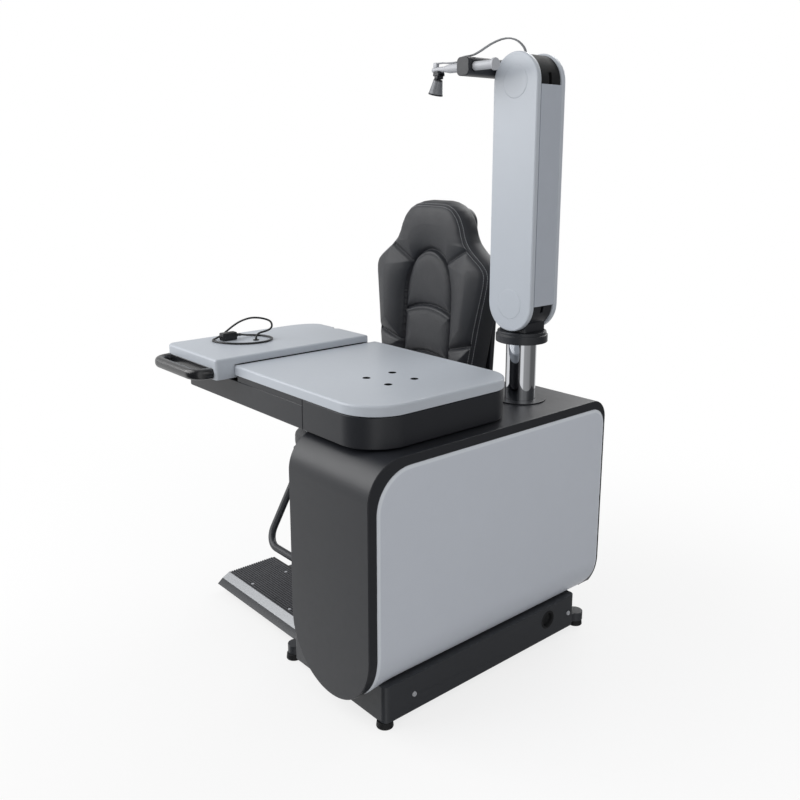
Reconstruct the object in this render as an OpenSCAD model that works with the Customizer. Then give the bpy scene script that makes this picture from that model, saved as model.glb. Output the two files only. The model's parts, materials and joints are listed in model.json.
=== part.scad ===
// Examination chair unit for an eye clinic: a padded chair, a console with a rising and
// swinging instrument table, and a parallel-link arm on a chromed column.
// Millimetres. +Z is up, the sitter faces -Y, and the console stands on the +X side.
// Plan places are counted from the axis of the front right foot. in_frame() then moves
// the whole plan so that its middle is the origin.

/* [Feet and plinth] */
// Diameter of a levelling foot
foot_d = 48; // [36:1:64]
// Height of a levelling foot
foot_h = 18; // [12:1:30]
// Spacing of the console feet across
foot_span_x = 432; // [400:1:480]
// Spacing of the console feet from front to back
foot_span_y = 808; // [780:1:860]
// Height of the plinth above the feet
plinth_h = 106; // [80:1:120]
// Sheet thickness of the plinth
plinth_wall = 4; // [3:0.5:6]
// How far the plinth side stands outside the right feet
plinth_side_edge = 21; // [18:1:24]
// How far the plinth front stands before the front feet
plinth_front_edge = 17; // [14:1:24]
// Radius of the cable hole in the plinth
cable_hole_r = 26; // [15:1:32]

/* [Console] */
// Width of the console body
console_w = 348; // [320:1:380]
// How far the console front stands before the front feet
console_front = 74; // [66:1:90]
// How far the console back stands behind the rear feet
console_back = 70; // [40:1:90]
// Height of the console top above the floor
console_top = 757; // [720:1:800]
// Height of the rounded tip of the front above the floor
tongue_tip = 54; // [45:1:70]
// Thickness of the console skin
console_wall = 8; // [7:0.5:12]
// Radius of the front top bend
front_bend_r = 105; // [80:1:130]
// Radius of the rear top bend
rear_bend_r = 60; // [40:1:80]
// Black border round the side panels
panel_border = 29; // [22:1:36]
// Thickness of a side panel
panel_t = 6; // [4:0.5:8]

/* [Column and arm] */
// Diameter of the chromed column
column_d = 93; // [80:1:104]
// Height of the column collar above the console
column_rise = 184; // [170:1:240]
// Diameter of the swivel collar
collar_d = 158; // [140:1:170]
// Height of the swivel collar
collar_h = 34; // [28:1:44]
// Distance between the two arm pivots
arm_link = 637; // [560:1:700]
// Width of an arm cheek
cheek_w = 167; // [150:1:180]
// Thickness of an arm cheek
cheek_t = 18; // [12:1:24]
// Clear space between the two cheeks
cheek_gap = 87; // [70:1:100]

/* [Table] */
// Length of the lower table slab
slab_w = 647; // [600:1:700]
// Depth of the lower table slab
slab_d = 547; // [500:1:580]
// Thickness of the lower table slab
slab_t = 30; // [22:1:36]
// Height of the lower table slab top at its lowest place
slab_top = 880; // [870:1:900]
// Corner radius at the front right of the table
slab_front_r = 122; // [80:1:140]
// Corner radius at the rear right of the table
slab_rear_r = 95; // [60:1:120]
// Length of the raised slab
raised_w = 324; // [280:1:360]
// Depth of the raised slab
raised_d = 577; // [520:1:600]
// How far the raised slab stands above the lower one
raised_step = 24; // [16:1:30]
// Spacing of the instrument holes
hole_span = 96; // [80:1:110]
// Radius of an instrument hole
hole_r = 10.5; // [6:0.5:14]
// Travel of the table lift
table_travel = 150; // [100:5:160]

/* [Chair] */
// Distance of the chair middle from the front right foot
chair_reach = 655; // [640:1:700]
// Width of the seat
seat_w = 520; // [460:1:530]
// Depth of the seat cushion
seat_d = 400; // [360:1:410]
// Height of the seat cushion top
seat_top = 575; // [540:1:580]
// Thickness of the seat cushion
seat_t = 90; // [60:1:95]
// Height of the back cushion
back_h = 760; // [700:1:780]
// Width of the back at the shoulders
back_w = 590; // [500:1:600]
// Thickness of the back cushion
back_t = 80; // [70:1:90]
// Travel of the chair lift
chair_travel = 150; // [100:5:150]
// Diameter of the foot hoop tube
hoop_d = 26; // [20:1:32]

/* [Footrest] */
// Length of the footrest
rest_w = 484; // [420:1:490]
// Depth of the footrest
rest_d = 235; // [200:1:260]
// Height of the footrest above its base plate
rest_h = 30; // [24:1:40]
// Pitch of the tread ribs
rib_pitch = 9; // [7:0.5:12]

/* [Hidden] */
$fn = 48;
round_sides = 96;
overrun = 1;
gap = 0.3;
black = [0.16, 0.165, 0.175];
charcoal = [0.24, 0.245, 0.255];
pale = [0.80, 0.82, 0.84];
silver = [0.72, 0.73, 0.75];
chrome = [0.82, 0.83, 0.85];
steel = [0.45, 0.46, 0.48];

// Plinth
plinth_top = foot_h + plinth_h;
plinth_right = plinth_side_edge;
plinth_left = -foot_span_x + foot_d / 2 + gap;
plinth_front = -plinth_front_edge;
plinth_rear = foot_span_y - foot_d / 2 - plinth_front_edge / 2;
plinth_corner_r = plinth_front_edge;
plinth_flange = 60;
plinth_flange_r = 18;
lug_h = foot_d * 0.58;
lug_r = foot_d / 2;
lug_run = foot_d * 1.1;
foot_top_share = 0.92;
bolt_d = 9;
bolt_head_d = 15;
bolt_face_d = 12.5;
bolt_socket_d = 5.5;
bolt_head_h = 4;
bolt_z = foot_h + plinth_h * 0.47;
bolt_from_front = 103;
bolt_from_rear = 32;
bolt_ys = [plinth_front + bolt_from_front, plinth_rear - bolt_from_rear];
cable_hole_from_rear = 132;
cable_hole_y = plinth_rear - cable_hole_from_rear;
cable_hole_z = foot_h + plinth_h * 0.6;

// Console
console_overhang = 6;
console_right = plinth_right + console_overhang;
console_left = console_right - console_w;
console_x = (console_left + console_right) / 2;
console_y0 = -console_front;
console_y1 = foot_span_y + console_back;
half_w = console_w / 2;
bend_z = tongue_tip + half_w;
skirt_gap = 4;
skirt_z = plinth_top + skirt_gap;
skirt_run = 80;
skirt_rise = 26;
skirt_low = tongue_tip + skirt_rise;
tongue_y = console_y0 + panel_border;
skirt_shares = [[0, 0], [0.06, 0.25], [0.17, 0.5], [0.38, 0.78], [0.6, 0.92], [0.85, 0.985], [1, 1]];
panel_proud = 2;
panel_recess = panel_t - panel_proud + gap;
panel_rear_border = 6;
panel_top = console_top - panel_border + panel_proud;
panel_rear = console_y1 - panel_rear_border;
panel_front_r = front_bend_r + console_wall;
panel_rear_r = rear_bend_r - panel_rear_border;
panel_low_r = rear_bend_r * 0.8;

// Chassis inside the console
post_w = 30;
post_inset = console_w * 0.16;
chassis_top = console_top - console_wall - gap;
chassis_plate_t = 6;

// Column
column_from_rear_feet = 136;
column_x = console_x;
column_y = foot_span_y - column_from_rear_feet;
collar_z = console_top + column_rise;
collar_step_h = collar_h * 0.7;
collar_neck_d = collar_d - collar_h / 4;
flange_d = collar_d;
flange_t = 4;
fit = 0.2;

// Arm
cheek_clear = 2.5;
pivot_z = collar_z + collar_h + cheek_w / 2 + cheek_clear;
upper_z = pivot_z + arm_link;
cheek_r = cheek_w / 2;
boss_inset = 5.5;
boss_r = cheek_r - boss_inset;
side_gap = 0.5;
block_t = cheek_gap - 2 * side_gap;
spine_t = 3.6;
spine_in = cheek_r - spine_t;
spine_below = 2;
spine_short = 9;
spine_low = pivot_z - spine_below;
spine_high = upper_z - spine_short;
pin_d = 20;
cap_d = cheek_w * 0.53;
cap_t = 2.4;
cap_groove = 0.8;
link_w = 22;
link_t = 10;
link_offset = 40;
link_pin_d = 10;
link_clear = 1;
slot_reach = 24;
pedestal_w = 104;

// Head and lamp
bar_w = 49;
bar_h = 52;
bar_r = 14;
bar_rise = 44;
bar_clear = 1.5;
bar_z = upper_z + bar_rise;
bar_x = column_x - cheek_r - bar_clear - bar_w / 2;
bar_overhang = 102;
bar_y0 = column_y - cheek_gap / 2 - cheek_t - bar_overhang;
bar_y1 = column_y + block_t / 2;
neck_h = 32;
rod_setback = 25;
rod_y = bar_y0 + rod_setback;
rod_d = 26;
rod_tip_d = 16;
rod_nut_d = 12;
rod_nut_t = 4;
rod_len = 122;
rod_taper = 25;
rod_tip_len = 45;
rod_x0 = bar_x - bar_w / 2 - rod_len;
knob_d = 25;
knob_len = 82;
knob_cap_d = 34;
knob_cap_t = 9;
knob_shank_d = 12;
gland_d = 14;
gland_h = 12;
gland_top = 2;
bracket_w = 30;
bracket_d = 30;
lamp_from_tip = 22;
lamp_drop = 11;
lamp_x = rod_x0 + lamp_from_tip;
lamp_pin_d = 5;
lamp_pin_z = bar_z - rod_tip_d / 2 - lamp_drop;
lamp_ear_r = 7;
lamp_ear_t = 5;
lamp_neck_w = 12;
lamp_neck_h = 12;
lamp_tilt = 15;
lamp_shell_h = 38;
lamp_top_d = 28;
lamp_mouth_d = 42;
lamp_wall = 2;
bezel_t = 4;
cable_d = 4.6;
cable_pitch = 4.8;
cable_points = [
    [-18, 0, 80.3], [-18, -0.5, 88], [-22, -5, 101], [-33, -16, 116], [-48, -32, 124],
    [-63, -54, 121], [-78, -82, 107], [-92, -108, 88], [-103, -125, 77], [-116, -134, 74],
    [-134, -138, 72], [-146, -138, 62], [-162, -138, 60], [-186, -138, 60]
];
cable_tail = [[-205, -138, 61], [-216, -138, 62.4], [-234, -138, 62.4], [-252, -138, 62]];

// Table
slab_from_side = 41;
slab_overhang = 36;
slab_right = console_right - slab_from_side;
slab_left = slab_right - slab_w;
slab_front = -slab_overhang;
slab_rear = slab_front + slab_d;
slab_z = slab_top - slab_t;
housing_clear = 5;
shadow_gap = 2;
housing_z = console_top + housing_clear;
housing_top = slab_z - shadow_gap;
housing_inset = 3;
housing_w = 290;
housing_wall = 5;
arm_drop = 18;
arm_top = slab_z - arm_drop;
arm_d = 300;
arm_wall = 4;
rail_w = 24;
raised_gap = 1;
raised_overhang = 60;
raised_right = slab_left - raised_gap;
raised_left = raised_right - raised_w;
raised_front = slab_front - raised_overhang;
raised_rear = raised_front + raised_d;
raised_top_z = slab_top + raised_step;
raised_skirt_rise = 9;
raised_skirt_z = arm_top + raised_skirt_rise;
raised_corner_r = 28;
raised_wall = 14;
notch_w = 46;
notch_d = 9;
hole_from_right = 219;
hole_from_front = 254;
hole_x = slab_right - hole_from_right;
hole_y = slab_front + hole_from_front;
handle_w = 296;
handle_out = 67;
handle_h = 33;
handle_bar = 26;
handle_r = 34;
handle_rise = 2;
handle_z = raised_skirt_z + handle_rise;
pivot_from_middle = 40;
pivot_from_front = 276;
table_pivot = [console_x - pivot_from_middle, slab_front + pivot_from_front];
lift_tube_d = 90;
lift_wall = 5;
lift_fit = 0.4;
lift_pad_d = 150;
lift_pad_t = 4;
guide_wall = 8;
guide_flange_d = 170;
guide_flange_t = 10;
guide_drop = 60;
guide_top = chassis_top - chassis_plate_t - guide_drop;
lift_hold = 280;
lift_low = guide_top - table_travel - lift_hold;

// Power box between the table lift and the column
power_w = 170;
power_h = 120;
power_clear = 24;
power_y = table_pivot[1] + guide_flange_d / 2 + gland_h + power_clear;
power_d = column_y - column_d / 2 - power_clear - power_y;

// Chair
chair_x = -chair_reach;
chair_y = 450;
plate_t = 12;
plate_reach = 250;
plate_left = chair_x - plate_reach;
plate_y0 = 60;
plate_y1 = 760;
plate_r = 30;
plate_foot_setback = 90;
seat_y0 = 300;
seat_y1 = seat_y0 + seat_d;
pan_t = 22;
pan_r = 40;
pan_inset = 8;
pan_setback = 12;
cushion_z = seat_top - seat_t;
pan_z = cushion_z - gap - pan_t;
chair_flange_d = 220;
chair_flange_t = 14;
chair_tube_d = 120;
chair_tube_top = 300;
chair_inner_d = 90;
chair_hold = 70;
chair_inner_low = chair_tube_top - chair_travel - chair_hold;
chair_inner_wall = 6;
recline_setback = 45;
recline_rise = 35;
back_pivot_y = seat_y1 + recline_setback;
back_pivot_z = cushion_z + recline_rise;
back_lean = 3.5;
back_rear = 30;
back_clear = 11;
back_low = seat_top - back_pivot_z + back_clear;
board_t = 12;
shell_t = 20;
board_w_shares = [0.78, 0.42];
board_z_shares = [0.06, 0.74, 0.94];
shell_w_shares = [0.86, 0.47];
shell_z_shares = [0.03, 0.76, 0.97];
back_round = 55;
ear_inset = 25;
ear_x = back_w / 2 * board_w_shares[0] - ear_inset;
ear_t = 8;
ear_r = 20;
ear_gap = 3;
ear_lap = 30;
recline_pin_d = 14;
bracket_drop = 26;
bracket_run = 110;
hoop_inset = 18;
hoop_setback = 83;
hoop_x = seat_w / 2 - hoop_inset;
hoop_y = seat_y0 + hoop_setback;
hoop_tilt = 30;
hoop_len = 360;
hoop_r = 60;
seat_loop_shares = [
    [0.955, 0], [0.985, 0.06], [1, 0.25], [1, 0.55], [0.985, 0.72], [0.955, 0.84],
    [0.905, 0.915], [0.84, 0.95], [0.76, 0.945], [0.735, 0.915], [0.7, 0.94], [0.55, 0.985],
    [0.3, 1], [0.1, 1]
];
seat_square_share = 0.3;
seat_sides = 40;
back_level_shares = [
    [0, 0.70, 0.50, 0], [0.006, 0.755, 0.68, 0.1], [0.02, 0.785, 0.82, 0.3],
    [0.05, 0.80, 0.94, 0.6], [0.12, 0.805, 1, 0.9], [0.27, 0.835, 1, 1], [0.44, 0.90, 1, 1],
    [0.57, 0.965, 1, 1], [0.64, 0.995, 1, 0.95], [0.68, 1, 1, 0.85], [0.71, 0.975, 1, 0.7],
    [0.735, 0.92, 1, 0.6], [0.762, 0.83, 1, 0.5], [0.787, 0.74, 1, 0.4], [0.821, 0.645, 1, 0.3],
    [0.855, 0.595, 1, 0.2], [0.89, 0.565, 1, 0.1], [0.93, 0.515, 0.98, 0], [0.96, 0.45, 0.93, 0],
    [0.98, 0.37, 0.82, 0], [0.994, 0.26, 0.64, 0], [1, 0.16, 0.45, 0]
];
back_column_shares = [
    [-1, 0, 0], [-1, 0.32, 0], [-0.985, 0.62, 0], [-0.95, 0.84, 0.1], [-0.88, 0.96, 0.35],
    [-0.79, 1, 0.5], [-0.68, 0.97, 0.35], [-0.57, 0.90, -0.5], [-0.52, 0.86, -1],
    [-0.47, 0.90, -0.7], [-0.32, 0.94, -0.4], [-0.15, 0.96, -0.3]
];
back_middle_shares = [0, 0.965, -0.3];
bolster_rise = 18;

// Footrest
rest_left = -950;
rest_right = rest_left + rest_w;
rest_y0 = 27;
rest_z = foot_h + plate_t;
rest_sheet = 3;
tread_t = 6;
rib_h = 2.5;
rib_w = 4.5;
nose_run = 20;
trim_run = 47;
nose_y = rest_y0 + nose_run;
nose_z = rest_z + rest_h * 0.53;
trim_y = rest_y0 + trim_run;
rest_y1 = rest_y0 + rest_d;
rest_top = rest_z + rest_h;
screw_d = 12;
screw_face_d = 9.5;
screw_h = 1.5;
screw_hole_d = 14;
screw_from_end = 129;
screw_from_front = 65;
screw_from_rear = 35;
screw_xs = [rest_left + screw_from_end, rest_right - screw_from_end];
screw_ys = [rest_y0 + screw_from_front, rest_y1 - screw_from_rear];

// Middle of the plan
mid_x = (raised_left + console_right + panel_proud) / 2;
mid_y = (raised_front - handle_out + console_y1) / 2;

// A flex lead that lies on the raised slab: exit, standing arch, flat loop and plug
cord_d = 6.5;
cord_from_end = 150;
cord_from_front = 246;
cord_x = raised_left + cord_from_end;
cord_y = raised_front + cord_from_front;
cord_z = raised_top_z;
cord_points = [
    [0, 0, 0], [0, 0, 5.5], [0.4, 1.9, 13.4], [1.6, 7, 19.9], [4, 14.8, 24], [8.5, 28, 27],
    [13.5, 41, 31.5], [16.5, 49.5, 39], [15.5, 52, 49], [9, 50, 58.5], [-3, 40, 65],
    [-20, 23, 69], [-38, 3, 68], [-58, -20, 58], [-75, -40, 42], [-87, -58, 25], [-92, -76, 12],
    [-91, -96, 5], [-82, -112, 3.4], [-64, -121, 3.4], [-38, -119, 3.3], [-10, -108, 3.3],
    [18, -88, 3.3], [40, -60, 3.3], [52, -26, 3.3], [50, 8, 3.3], [34, 38, 3.3], [8, 54, 3.3],
    [-22, 54, 3.3], [-48, 44, 3.3], [-64, 26, 4], [-69, 6, 6], [-66, -12, 10], [-61, -28, 13],
    [-60, -42, 13]
];
plug_l = 52;
plug_w = 28;
plug_h = 26;
plug_corner_r = 5;
plug_pins = 12;
grommet_d = 20;
grommet_h = 3;
cord_hole_d = 8.5;

// Grid lofts
function flat(list) = [for (part = list) each part];
function ring_faces(rings, sides) = flat([
    for (r = [0:rings - 2], s = [0:sides - 1])
        let (a = r * sides + s, b = r * sides + (s + 1) % sides)
            [[a, a + sides, b], [b, a + sides, b + sides]]
]);
function cap_faces(start, sides, turn) = [
    for (s = [1:sides - 2])
        turn > 0 ? [start, start + s, start + s + 1] : [start, start + s + 1, start + s]
];
function unit(v) = v / norm(v);
function spline(points, i, t) =
    let (n = len(points) - 1,
         a = points[max(i - 1, 0)], b = points[i],
         c = points[min(i + 1, n)], d = points[min(i + 2, n)])
        0.5 * (2 * b + (c - a) * t + (2 * a - 5 * b + 4 * c - d) * t * t
               + (3 * b - a - 3 * c + d) * t * t * t);
function route(points, steps) = concat(
    [for (i = [0:len(points) - 2], k = [0:steps - 1]) spline(points, i, k / steps)],
    [points[len(points) - 1]]);
function heading(path, i) =
    unit(path[min(i + 1, len(path) - 1)] - path[max(i - 1, 0)]);

// A round tube of diameter d swept along a path
module swept_tube(path, d, sides) {
    frames = [for (i = 0, h = heading(path, 0), v = unit(cross(h, [0.9, 0.3, 0.2]));
                   i < len(path);
                   i = i + 1, h = heading(path, min(i, len(path) - 1)),
                   v = unit(v - h * (v * h))) [v, cross(h, v)]];
    points = flat([
        for (i = [0:len(path) - 1])
            [for (s = [0:sides - 1])
                path[i] + d / 2 * (cos(360 * s / sides) * frames[i][0]
                                   + sin(360 * s / sides) * frames[i][1])]
    ]);
    polyhedron(points, concat(ring_faces(len(path), sides), cap_faces(0, sides, 1),
                              cap_faces((len(path) - 1) * sides, sides, -1)));
}

module in_frame() { translate([-mid_x, -mid_y, 0]) children(); }
module along_x(x0, x1) {
    translate([x0, 0, 0]) rotate([90, 0, 90]) linear_extrude(x1 - x0) children();
}
module along_y(y0, y1) {
    translate([0, y1, 0]) rotate([90, 0, 0]) linear_extrude(y1 - y0) children();
}
module along_z(z0, z1) { translate([0, 0, z0]) linear_extrude(z1 - z0) children(); }
module box(low, high) { translate(low) cube(high - low); }

// What a rounded corner takes away
module corner_bite(r) {
    difference() {
        translate([-overrun, -overrun]) square(r + overrun);
        translate([r, r]) circle(r);
    }
}

// A rectangle with its own radius at each corner, from low left and anticlockwise
module rounded_rect(low, high, radii) {
    difference() {
        translate(low) square(high - low);
        if (radii[0] > 0) translate(low) corner_bite(radii[0]);
        if (radii[1] > 0) translate([high[0], low[1]]) rotate(90) corner_bite(radii[1]);
        if (radii[2] > 0) translate(high) rotate(180) corner_bite(radii[2]);
        if (radii[3] > 0) translate([low[0], high[1]]) rotate(270) corner_bite(radii[3]);
    }
}

module foot_places() {
    for (p = [[0, 0], [-foot_span_x, 0], [0, foot_span_y], [-foot_span_x, foot_span_y]])
        translate(p) children();
    for (y = [plate_y0 + plate_foot_setback, plate_y1 - foot_d])
        translate([plate_left + foot_d, y]) children();
}

module leveling_feet() {
    color(black) in_frame() foot_places()
        cylinder(d1 = foot_d, d2 = foot_d * foot_top_share, h = foot_h);
}

module plinth_plan(inset) {
    r = plinth_corner_r - inset;
    rounded_rect([plinth_left + inset, plinth_front + inset],
                 [plinth_right - inset, plinth_rear - inset], [r, r, r, r]);
}

// The plinth's own space, which the console and its panels leave free
module plinth_room() { along_z(foot_h, plinth_top + gap) plinth_plan(-gap); }

module lug(place, turn) {
    translate(place) {
        cylinder(r = lug_r, h = lug_h);
        rotate(turn) translate([0, -lug_r / 2, 0]) cube([lug_run, lug_r, lug_h]);
    }
}

module base_frame() {
    color(black) in_frame() {
        difference() {
            union() {
                along_z(foot_h, plinth_top) plinth_plan(0);
                translate([0, 0, foot_h]) {
                    lug([-foot_span_x, lug_r / 4], 0);
                    lug([-foot_span_x, foot_span_y], -45);
                    lug([0, foot_span_y], -90);
                }
            }
            along_z(foot_h + plinth_wall, plinth_top - plinth_wall) plinth_plan(plinth_wall);
            along_z(foot_h - overrun, foot_h + plinth_wall + overrun)
                rounded_rect([plinth_left + plinth_flange, plinth_front + plinth_flange],
                             [plinth_right - plinth_flange, plinth_rear - plinth_flange],
                             [plinth_flange_r, plinth_flange_r, plinth_flange_r, plinth_flange_r]);
            translate([plinth_right - 2 * plinth_wall, cable_hole_y, cable_hole_z])
                rotate([0, 90, 0]) cylinder(r = cable_hole_r, h = 4 * plinth_wall);
            for (y = bolt_ys)
                translate([plinth_right - 2 * plinth_wall, y, bolt_z])
                    rotate([0, 90, 0]) cylinder(d = bolt_d + 2 * fit, h = 4 * plinth_wall);
        }
    }
}

module frame_bolts() {
    color(silver) in_frame() for (y = bolt_ys) translate([plinth_right, y, bolt_z])
        rotate([0, 90, 0]) {
            difference() {
                cylinder(d1 = bolt_head_d, d2 = bolt_face_d, h = bolt_head_h);
                translate([0, 0, bolt_head_h / 2]) cylinder(d = bolt_socket_d, h = bolt_head_h, $fn = 6);
            }
            translate([0, 0, -2 * plinth_wall]) cylinder(d = bolt_d, h = 2 * plinth_wall);
        }
}

module chair_base_plate() {
    color(black) in_frame() along_z(foot_h, foot_h + plate_t)
        rounded_rect([plate_left, plate_y0], [plinth_left, plate_y1], [plate_r, 0, 0, plate_r]);
}

// The U section of the console seen from the front, drawn in by inset
module trough(inset) {
    translate([console_x, bend_z]) {
        circle(half_w - inset, $fn = round_sides);
        translate([inset - half_w, 0]) square([console_w - 2 * inset, console_top]);
    }
}

function skirt_points(lift) = [
    for (p = skirt_shares)
        [tongue_y + skirt_run * p[0], skirt_low + (skirt_z - skirt_low) * p[1] + lift]
];

// What lies below the skirt line, seen from the side
module below_skirt(lift) {
    polygon(concat([[tongue_y, tongue_tip - 2 * overrun]], skirt_points(lift),
                   [[console_y1 + overrun, skirt_z + lift],
                    [console_y1 + overrun, tongue_tip - 2 * overrun]]));
}

module console_side() {
    difference() {
        translate([console_y0, tongue_tip - overrun])
            square([console_y1 - console_y0, console_top - tongue_tip + overrun]);
        translate([console_y0, console_top]) rotate(270) corner_bite(front_bend_r);
        translate([console_y1, console_top]) rotate(180) corner_bite(rear_bend_r);
        below_skirt(0);
    }
}

// The hollow of the console, closed over the tongue and open above the plinth
module console_hollow() {
    y0 = console_y0 + console_wall;
    y1 = console_y1 - console_wall;
    top = console_top - console_wall;
    difference() {
        translate([y0, tongue_tip - overrun]) square([y1 - y0, top - tongue_tip + overrun]);
        translate([y0, top]) rotate(270) corner_bite(front_bend_r - console_wall);
        translate([y1, top]) rotate(180) corner_bite(rear_bend_r - console_wall);
        polygon(concat([[y0 - overrun, tongue_tip - 2 * overrun],
                        [y0 - overrun, skirt_low + console_wall]],
                       [[tongue_y - console_wall, skirt_low + console_wall]],
                       skirt_points(console_wall),
                       [[tongue_y + skirt_run, tongue_tip - 2 * overrun]]));
    }
}

module panel_side(grow) {
    y0 = tongue_y - grow;
    y1 = panel_rear + grow;
    top = panel_top + grow;
    difference() {
        translate([y0, tongue_tip]) square([y1 - y0, top - tongue_tip]);
        translate([y0, top]) rotate(270) corner_bite(panel_front_r);
        translate([y1, top]) rotate(180) corner_bite(panel_rear_r);
        below_skirt(-overrun * (grow > 0 ? 1 : 0));
        translate([y1, skirt_z]) rotate(90) corner_bite(panel_low_r);
    }
}

// A skin between two copies of the U section, on the +X side only
module side_skin(outer, inner, grow) {
    intersection() {
        difference() {
            along_y(console_y0, console_y1) trough(-outer);
            along_y(console_y0 - overrun, console_y1 + overrun) trough(inner);
        }
        along_x(console_x, console_right + 2 * outer) panel_side(grow);
    }
}

module other_side() { translate([2 * console_x, 0, 0]) mirror([1, 0, 0]) children(); }

module console_shell() {
    color(black) in_frame() difference() {
        intersection() {
            along_y(console_y0, console_y1) trough(0);
            along_x(console_left, console_right) console_side();
        }
        intersection() {
            along_y(console_y0, console_y1) trough(console_wall);
            along_x(console_left, console_right) console_hollow();
        }
        side_skin(overrun, panel_recess, gap);
        other_side() side_skin(overrun, panel_recess, gap);
        translate([column_x, column_y, chassis_top])
            cylinder(d = column_d + 2 * fit, h = 4 * console_wall);
        translate([table_pivot[0], table_pivot[1], chassis_top])
            cylinder(d = lift_tube_d + 2 * lift_fit, h = 4 * console_wall);
        plinth_room();
    }
}

module side_panel_outer() {
    color(pale) in_frame() difference() {
        side_skin(panel_proud, panel_recess - gap, 0);
        plinth_room();
    }
}

module side_panel_inner() {
    color(pale) in_frame() difference() {
        other_side() side_skin(panel_proud, panel_recess - gap, 0);
        plinth_room();
    }
}

module inner_frame() {
    x0 = console_left + post_inset;
    x1 = console_right - post_inset;
    y0 = plinth_front + post_inset;
    y1 = plinth_rear - 2 * plinth_wall;
    color(steel) in_frame() difference() {
        union() {
            box([x0, y0, chassis_top - chassis_plate_t], [x1, y1, chassis_top]);
            for (x = [x0, x1 - post_w], y = [y0, y1 - post_w])
                box([x, y, plinth_top], [x + post_w, y + post_w, chassis_top - overrun]);
        }
        translate([column_x, column_y, chassis_top - 2 * chassis_plate_t])
            cylinder(d = column_d + 2 * fit, h = 4 * chassis_plate_t);
        translate([table_pivot[0], table_pivot[1], chassis_top - 2 * chassis_plate_t])
            cylinder(d = lift_tube_d + 2 * lift_fit, h = 4 * chassis_plate_t);
    }
}

module power_box() {
    r = plinth_corner_r / 2;
    color(steel) in_frame() {
        along_z(plinth_top, plinth_top + power_h)
            rounded_rect([console_x - power_w / 2, power_y],
                         [console_x + power_w / 2, power_y + power_d], [r, r, r, r]);
        translate([console_x, power_y + overrun, plinth_top + power_h / 2]) rotate([90, 0, 0])
            cylinder(d = gland_d, h = gland_h + overrun);
    }
}

module table_lift_guide() {
    color(steel) in_frame() translate([table_pivot[0], table_pivot[1], plinth_top]) {
        difference() {
            union() {
                cylinder(d = guide_flange_d, h = guide_flange_t);
                cylinder(d = lift_tube_d + 2 * (fit + guide_wall), h = guide_top - plinth_top);
            }
            translate([0, 0, guide_flange_t]) cylinder(d = lift_tube_d + 2 * fit, h = guide_top);
        }
    }
}

module column_flange() {
    color(black) in_frame() translate([column_x, column_y, console_top]) difference() {
        cylinder(d = flange_d, h = flange_t);
        translate([0, 0, -overrun]) cylinder(d = column_d + 2 * fit, h = flange_t + 2 * overrun);
    }
}

module column_tube() {
    color(chrome) in_frame() translate([column_x, column_y, plinth_top]) difference() {
        cylinder(d = column_d, h = collar_z + collar_step_h - gap - plinth_top);
        translate([0, 0, -overrun]) cylinder(d = column_d - 2 * lift_wall, h = collar_z);
    }
}

module chair_column_outer() {
    color(charcoal) in_frame() translate([chair_x, chair_y, foot_h + plate_t]) difference() {
        union() {
            cylinder(d = chair_flange_d, h = chair_flange_t);
            cylinder(d = chair_tube_d, h = chair_tube_top - foot_h - plate_t);
        }
        translate([0, 0, chair_flange_t])
            cylinder(d = chair_inner_d + 2 * fit, h = chair_tube_top);
    }
}

module footrest_plate() {
    tread_z = rest_top - tread_t;
    color(black) in_frame() difference() {
        along_x(rest_left, rest_right) polygon([
            [rest_y0, rest_z], [nose_y, nose_z], [trim_y, tread_z], [rest_y1, tread_z],
            [rest_y1, rest_z]
        ]);
        along_x(rest_left + rest_sheet, rest_right - rest_sheet) polygon([
            [trim_y, rest_z - overrun], [trim_y, tread_z - rest_sheet],
            [rest_y1 - rest_sheet, tread_z - rest_sheet], [rest_y1 - rest_sheet, rest_z - overrun]
        ]);
        for (x = screw_xs, y = screw_ys)
            translate([x, y, rest_z]) cylinder(d = screw_d / 2 + 2 * fit, h = rest_h);
    }
}

module footrest_trim() {
    color(silver) in_frame() along_x(rest_left, rest_right)
        polygon([[nose_y, nose_z], [trim_y, rest_top - tread_t], [trim_y, rest_top]]);
}

module footrest_tread() {
    ribs = floor((rest_d - (trim_y - rest_y0)) / rib_pitch);
    color(charcoal) in_frame() difference() {
        union() {
            box([rest_left, trim_y, rest_top - tread_t], [rest_right, rest_y1, rest_top - rib_h]);
            for (i = [0:ribs - 1])
                box([rest_left, trim_y + i * rib_pitch, rest_top - tread_t],
                    [rest_right, trim_y + i * rib_pitch + rib_w, rest_top]);
        }
        for (x = screw_xs, y = screw_ys) translate([x, y, rest_z]) {
            cylinder(d = screw_d / 2 + 2 * fit, h = rest_h + overrun);
            translate([0, 0, rest_h - rib_h]) cylinder(d = screw_hole_d, h = tread_t);
        }
    }
}

module footrest_screws() {
    color(silver) in_frame() for (x = screw_xs, y = screw_ys)
        translate([x, y, rest_top - rib_h]) {
            cylinder(d1 = screw_d, d2 = screw_face_d, h = screw_h);
            translate([0, 0, -rest_h / 2]) cylinder(d = screw_d / 2, h = rest_h / 2);
        }
}

module table_lift_tube() {
    color(chrome) in_frame() translate([table_pivot[0], table_pivot[1], lift_low]) difference() {
        cylinder(d = lift_tube_d, h = housing_z - lift_pad_t - lift_low);
        translate([0, 0, -overrun])
            cylinder(d = lift_tube_d - 2 * lift_wall, h = housing_z - lift_low - 3 * lift_pad_t);
    }
}

module table_lift_pad() {
    color(black) in_frame() translate([table_pivot[0], table_pivot[1], housing_z - lift_pad_t])
        cylinder(d = lift_pad_d, h = lift_pad_t);
}

// Plan of the lower table: it starts at x and is drawn in by inset
module table_plan(x, inset) {
    rounded_rect([x, slab_front + inset], [slab_right - inset, slab_rear - inset],
                 [0, slab_front_r - inset, slab_rear_r - inset, 0]);
}

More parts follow.
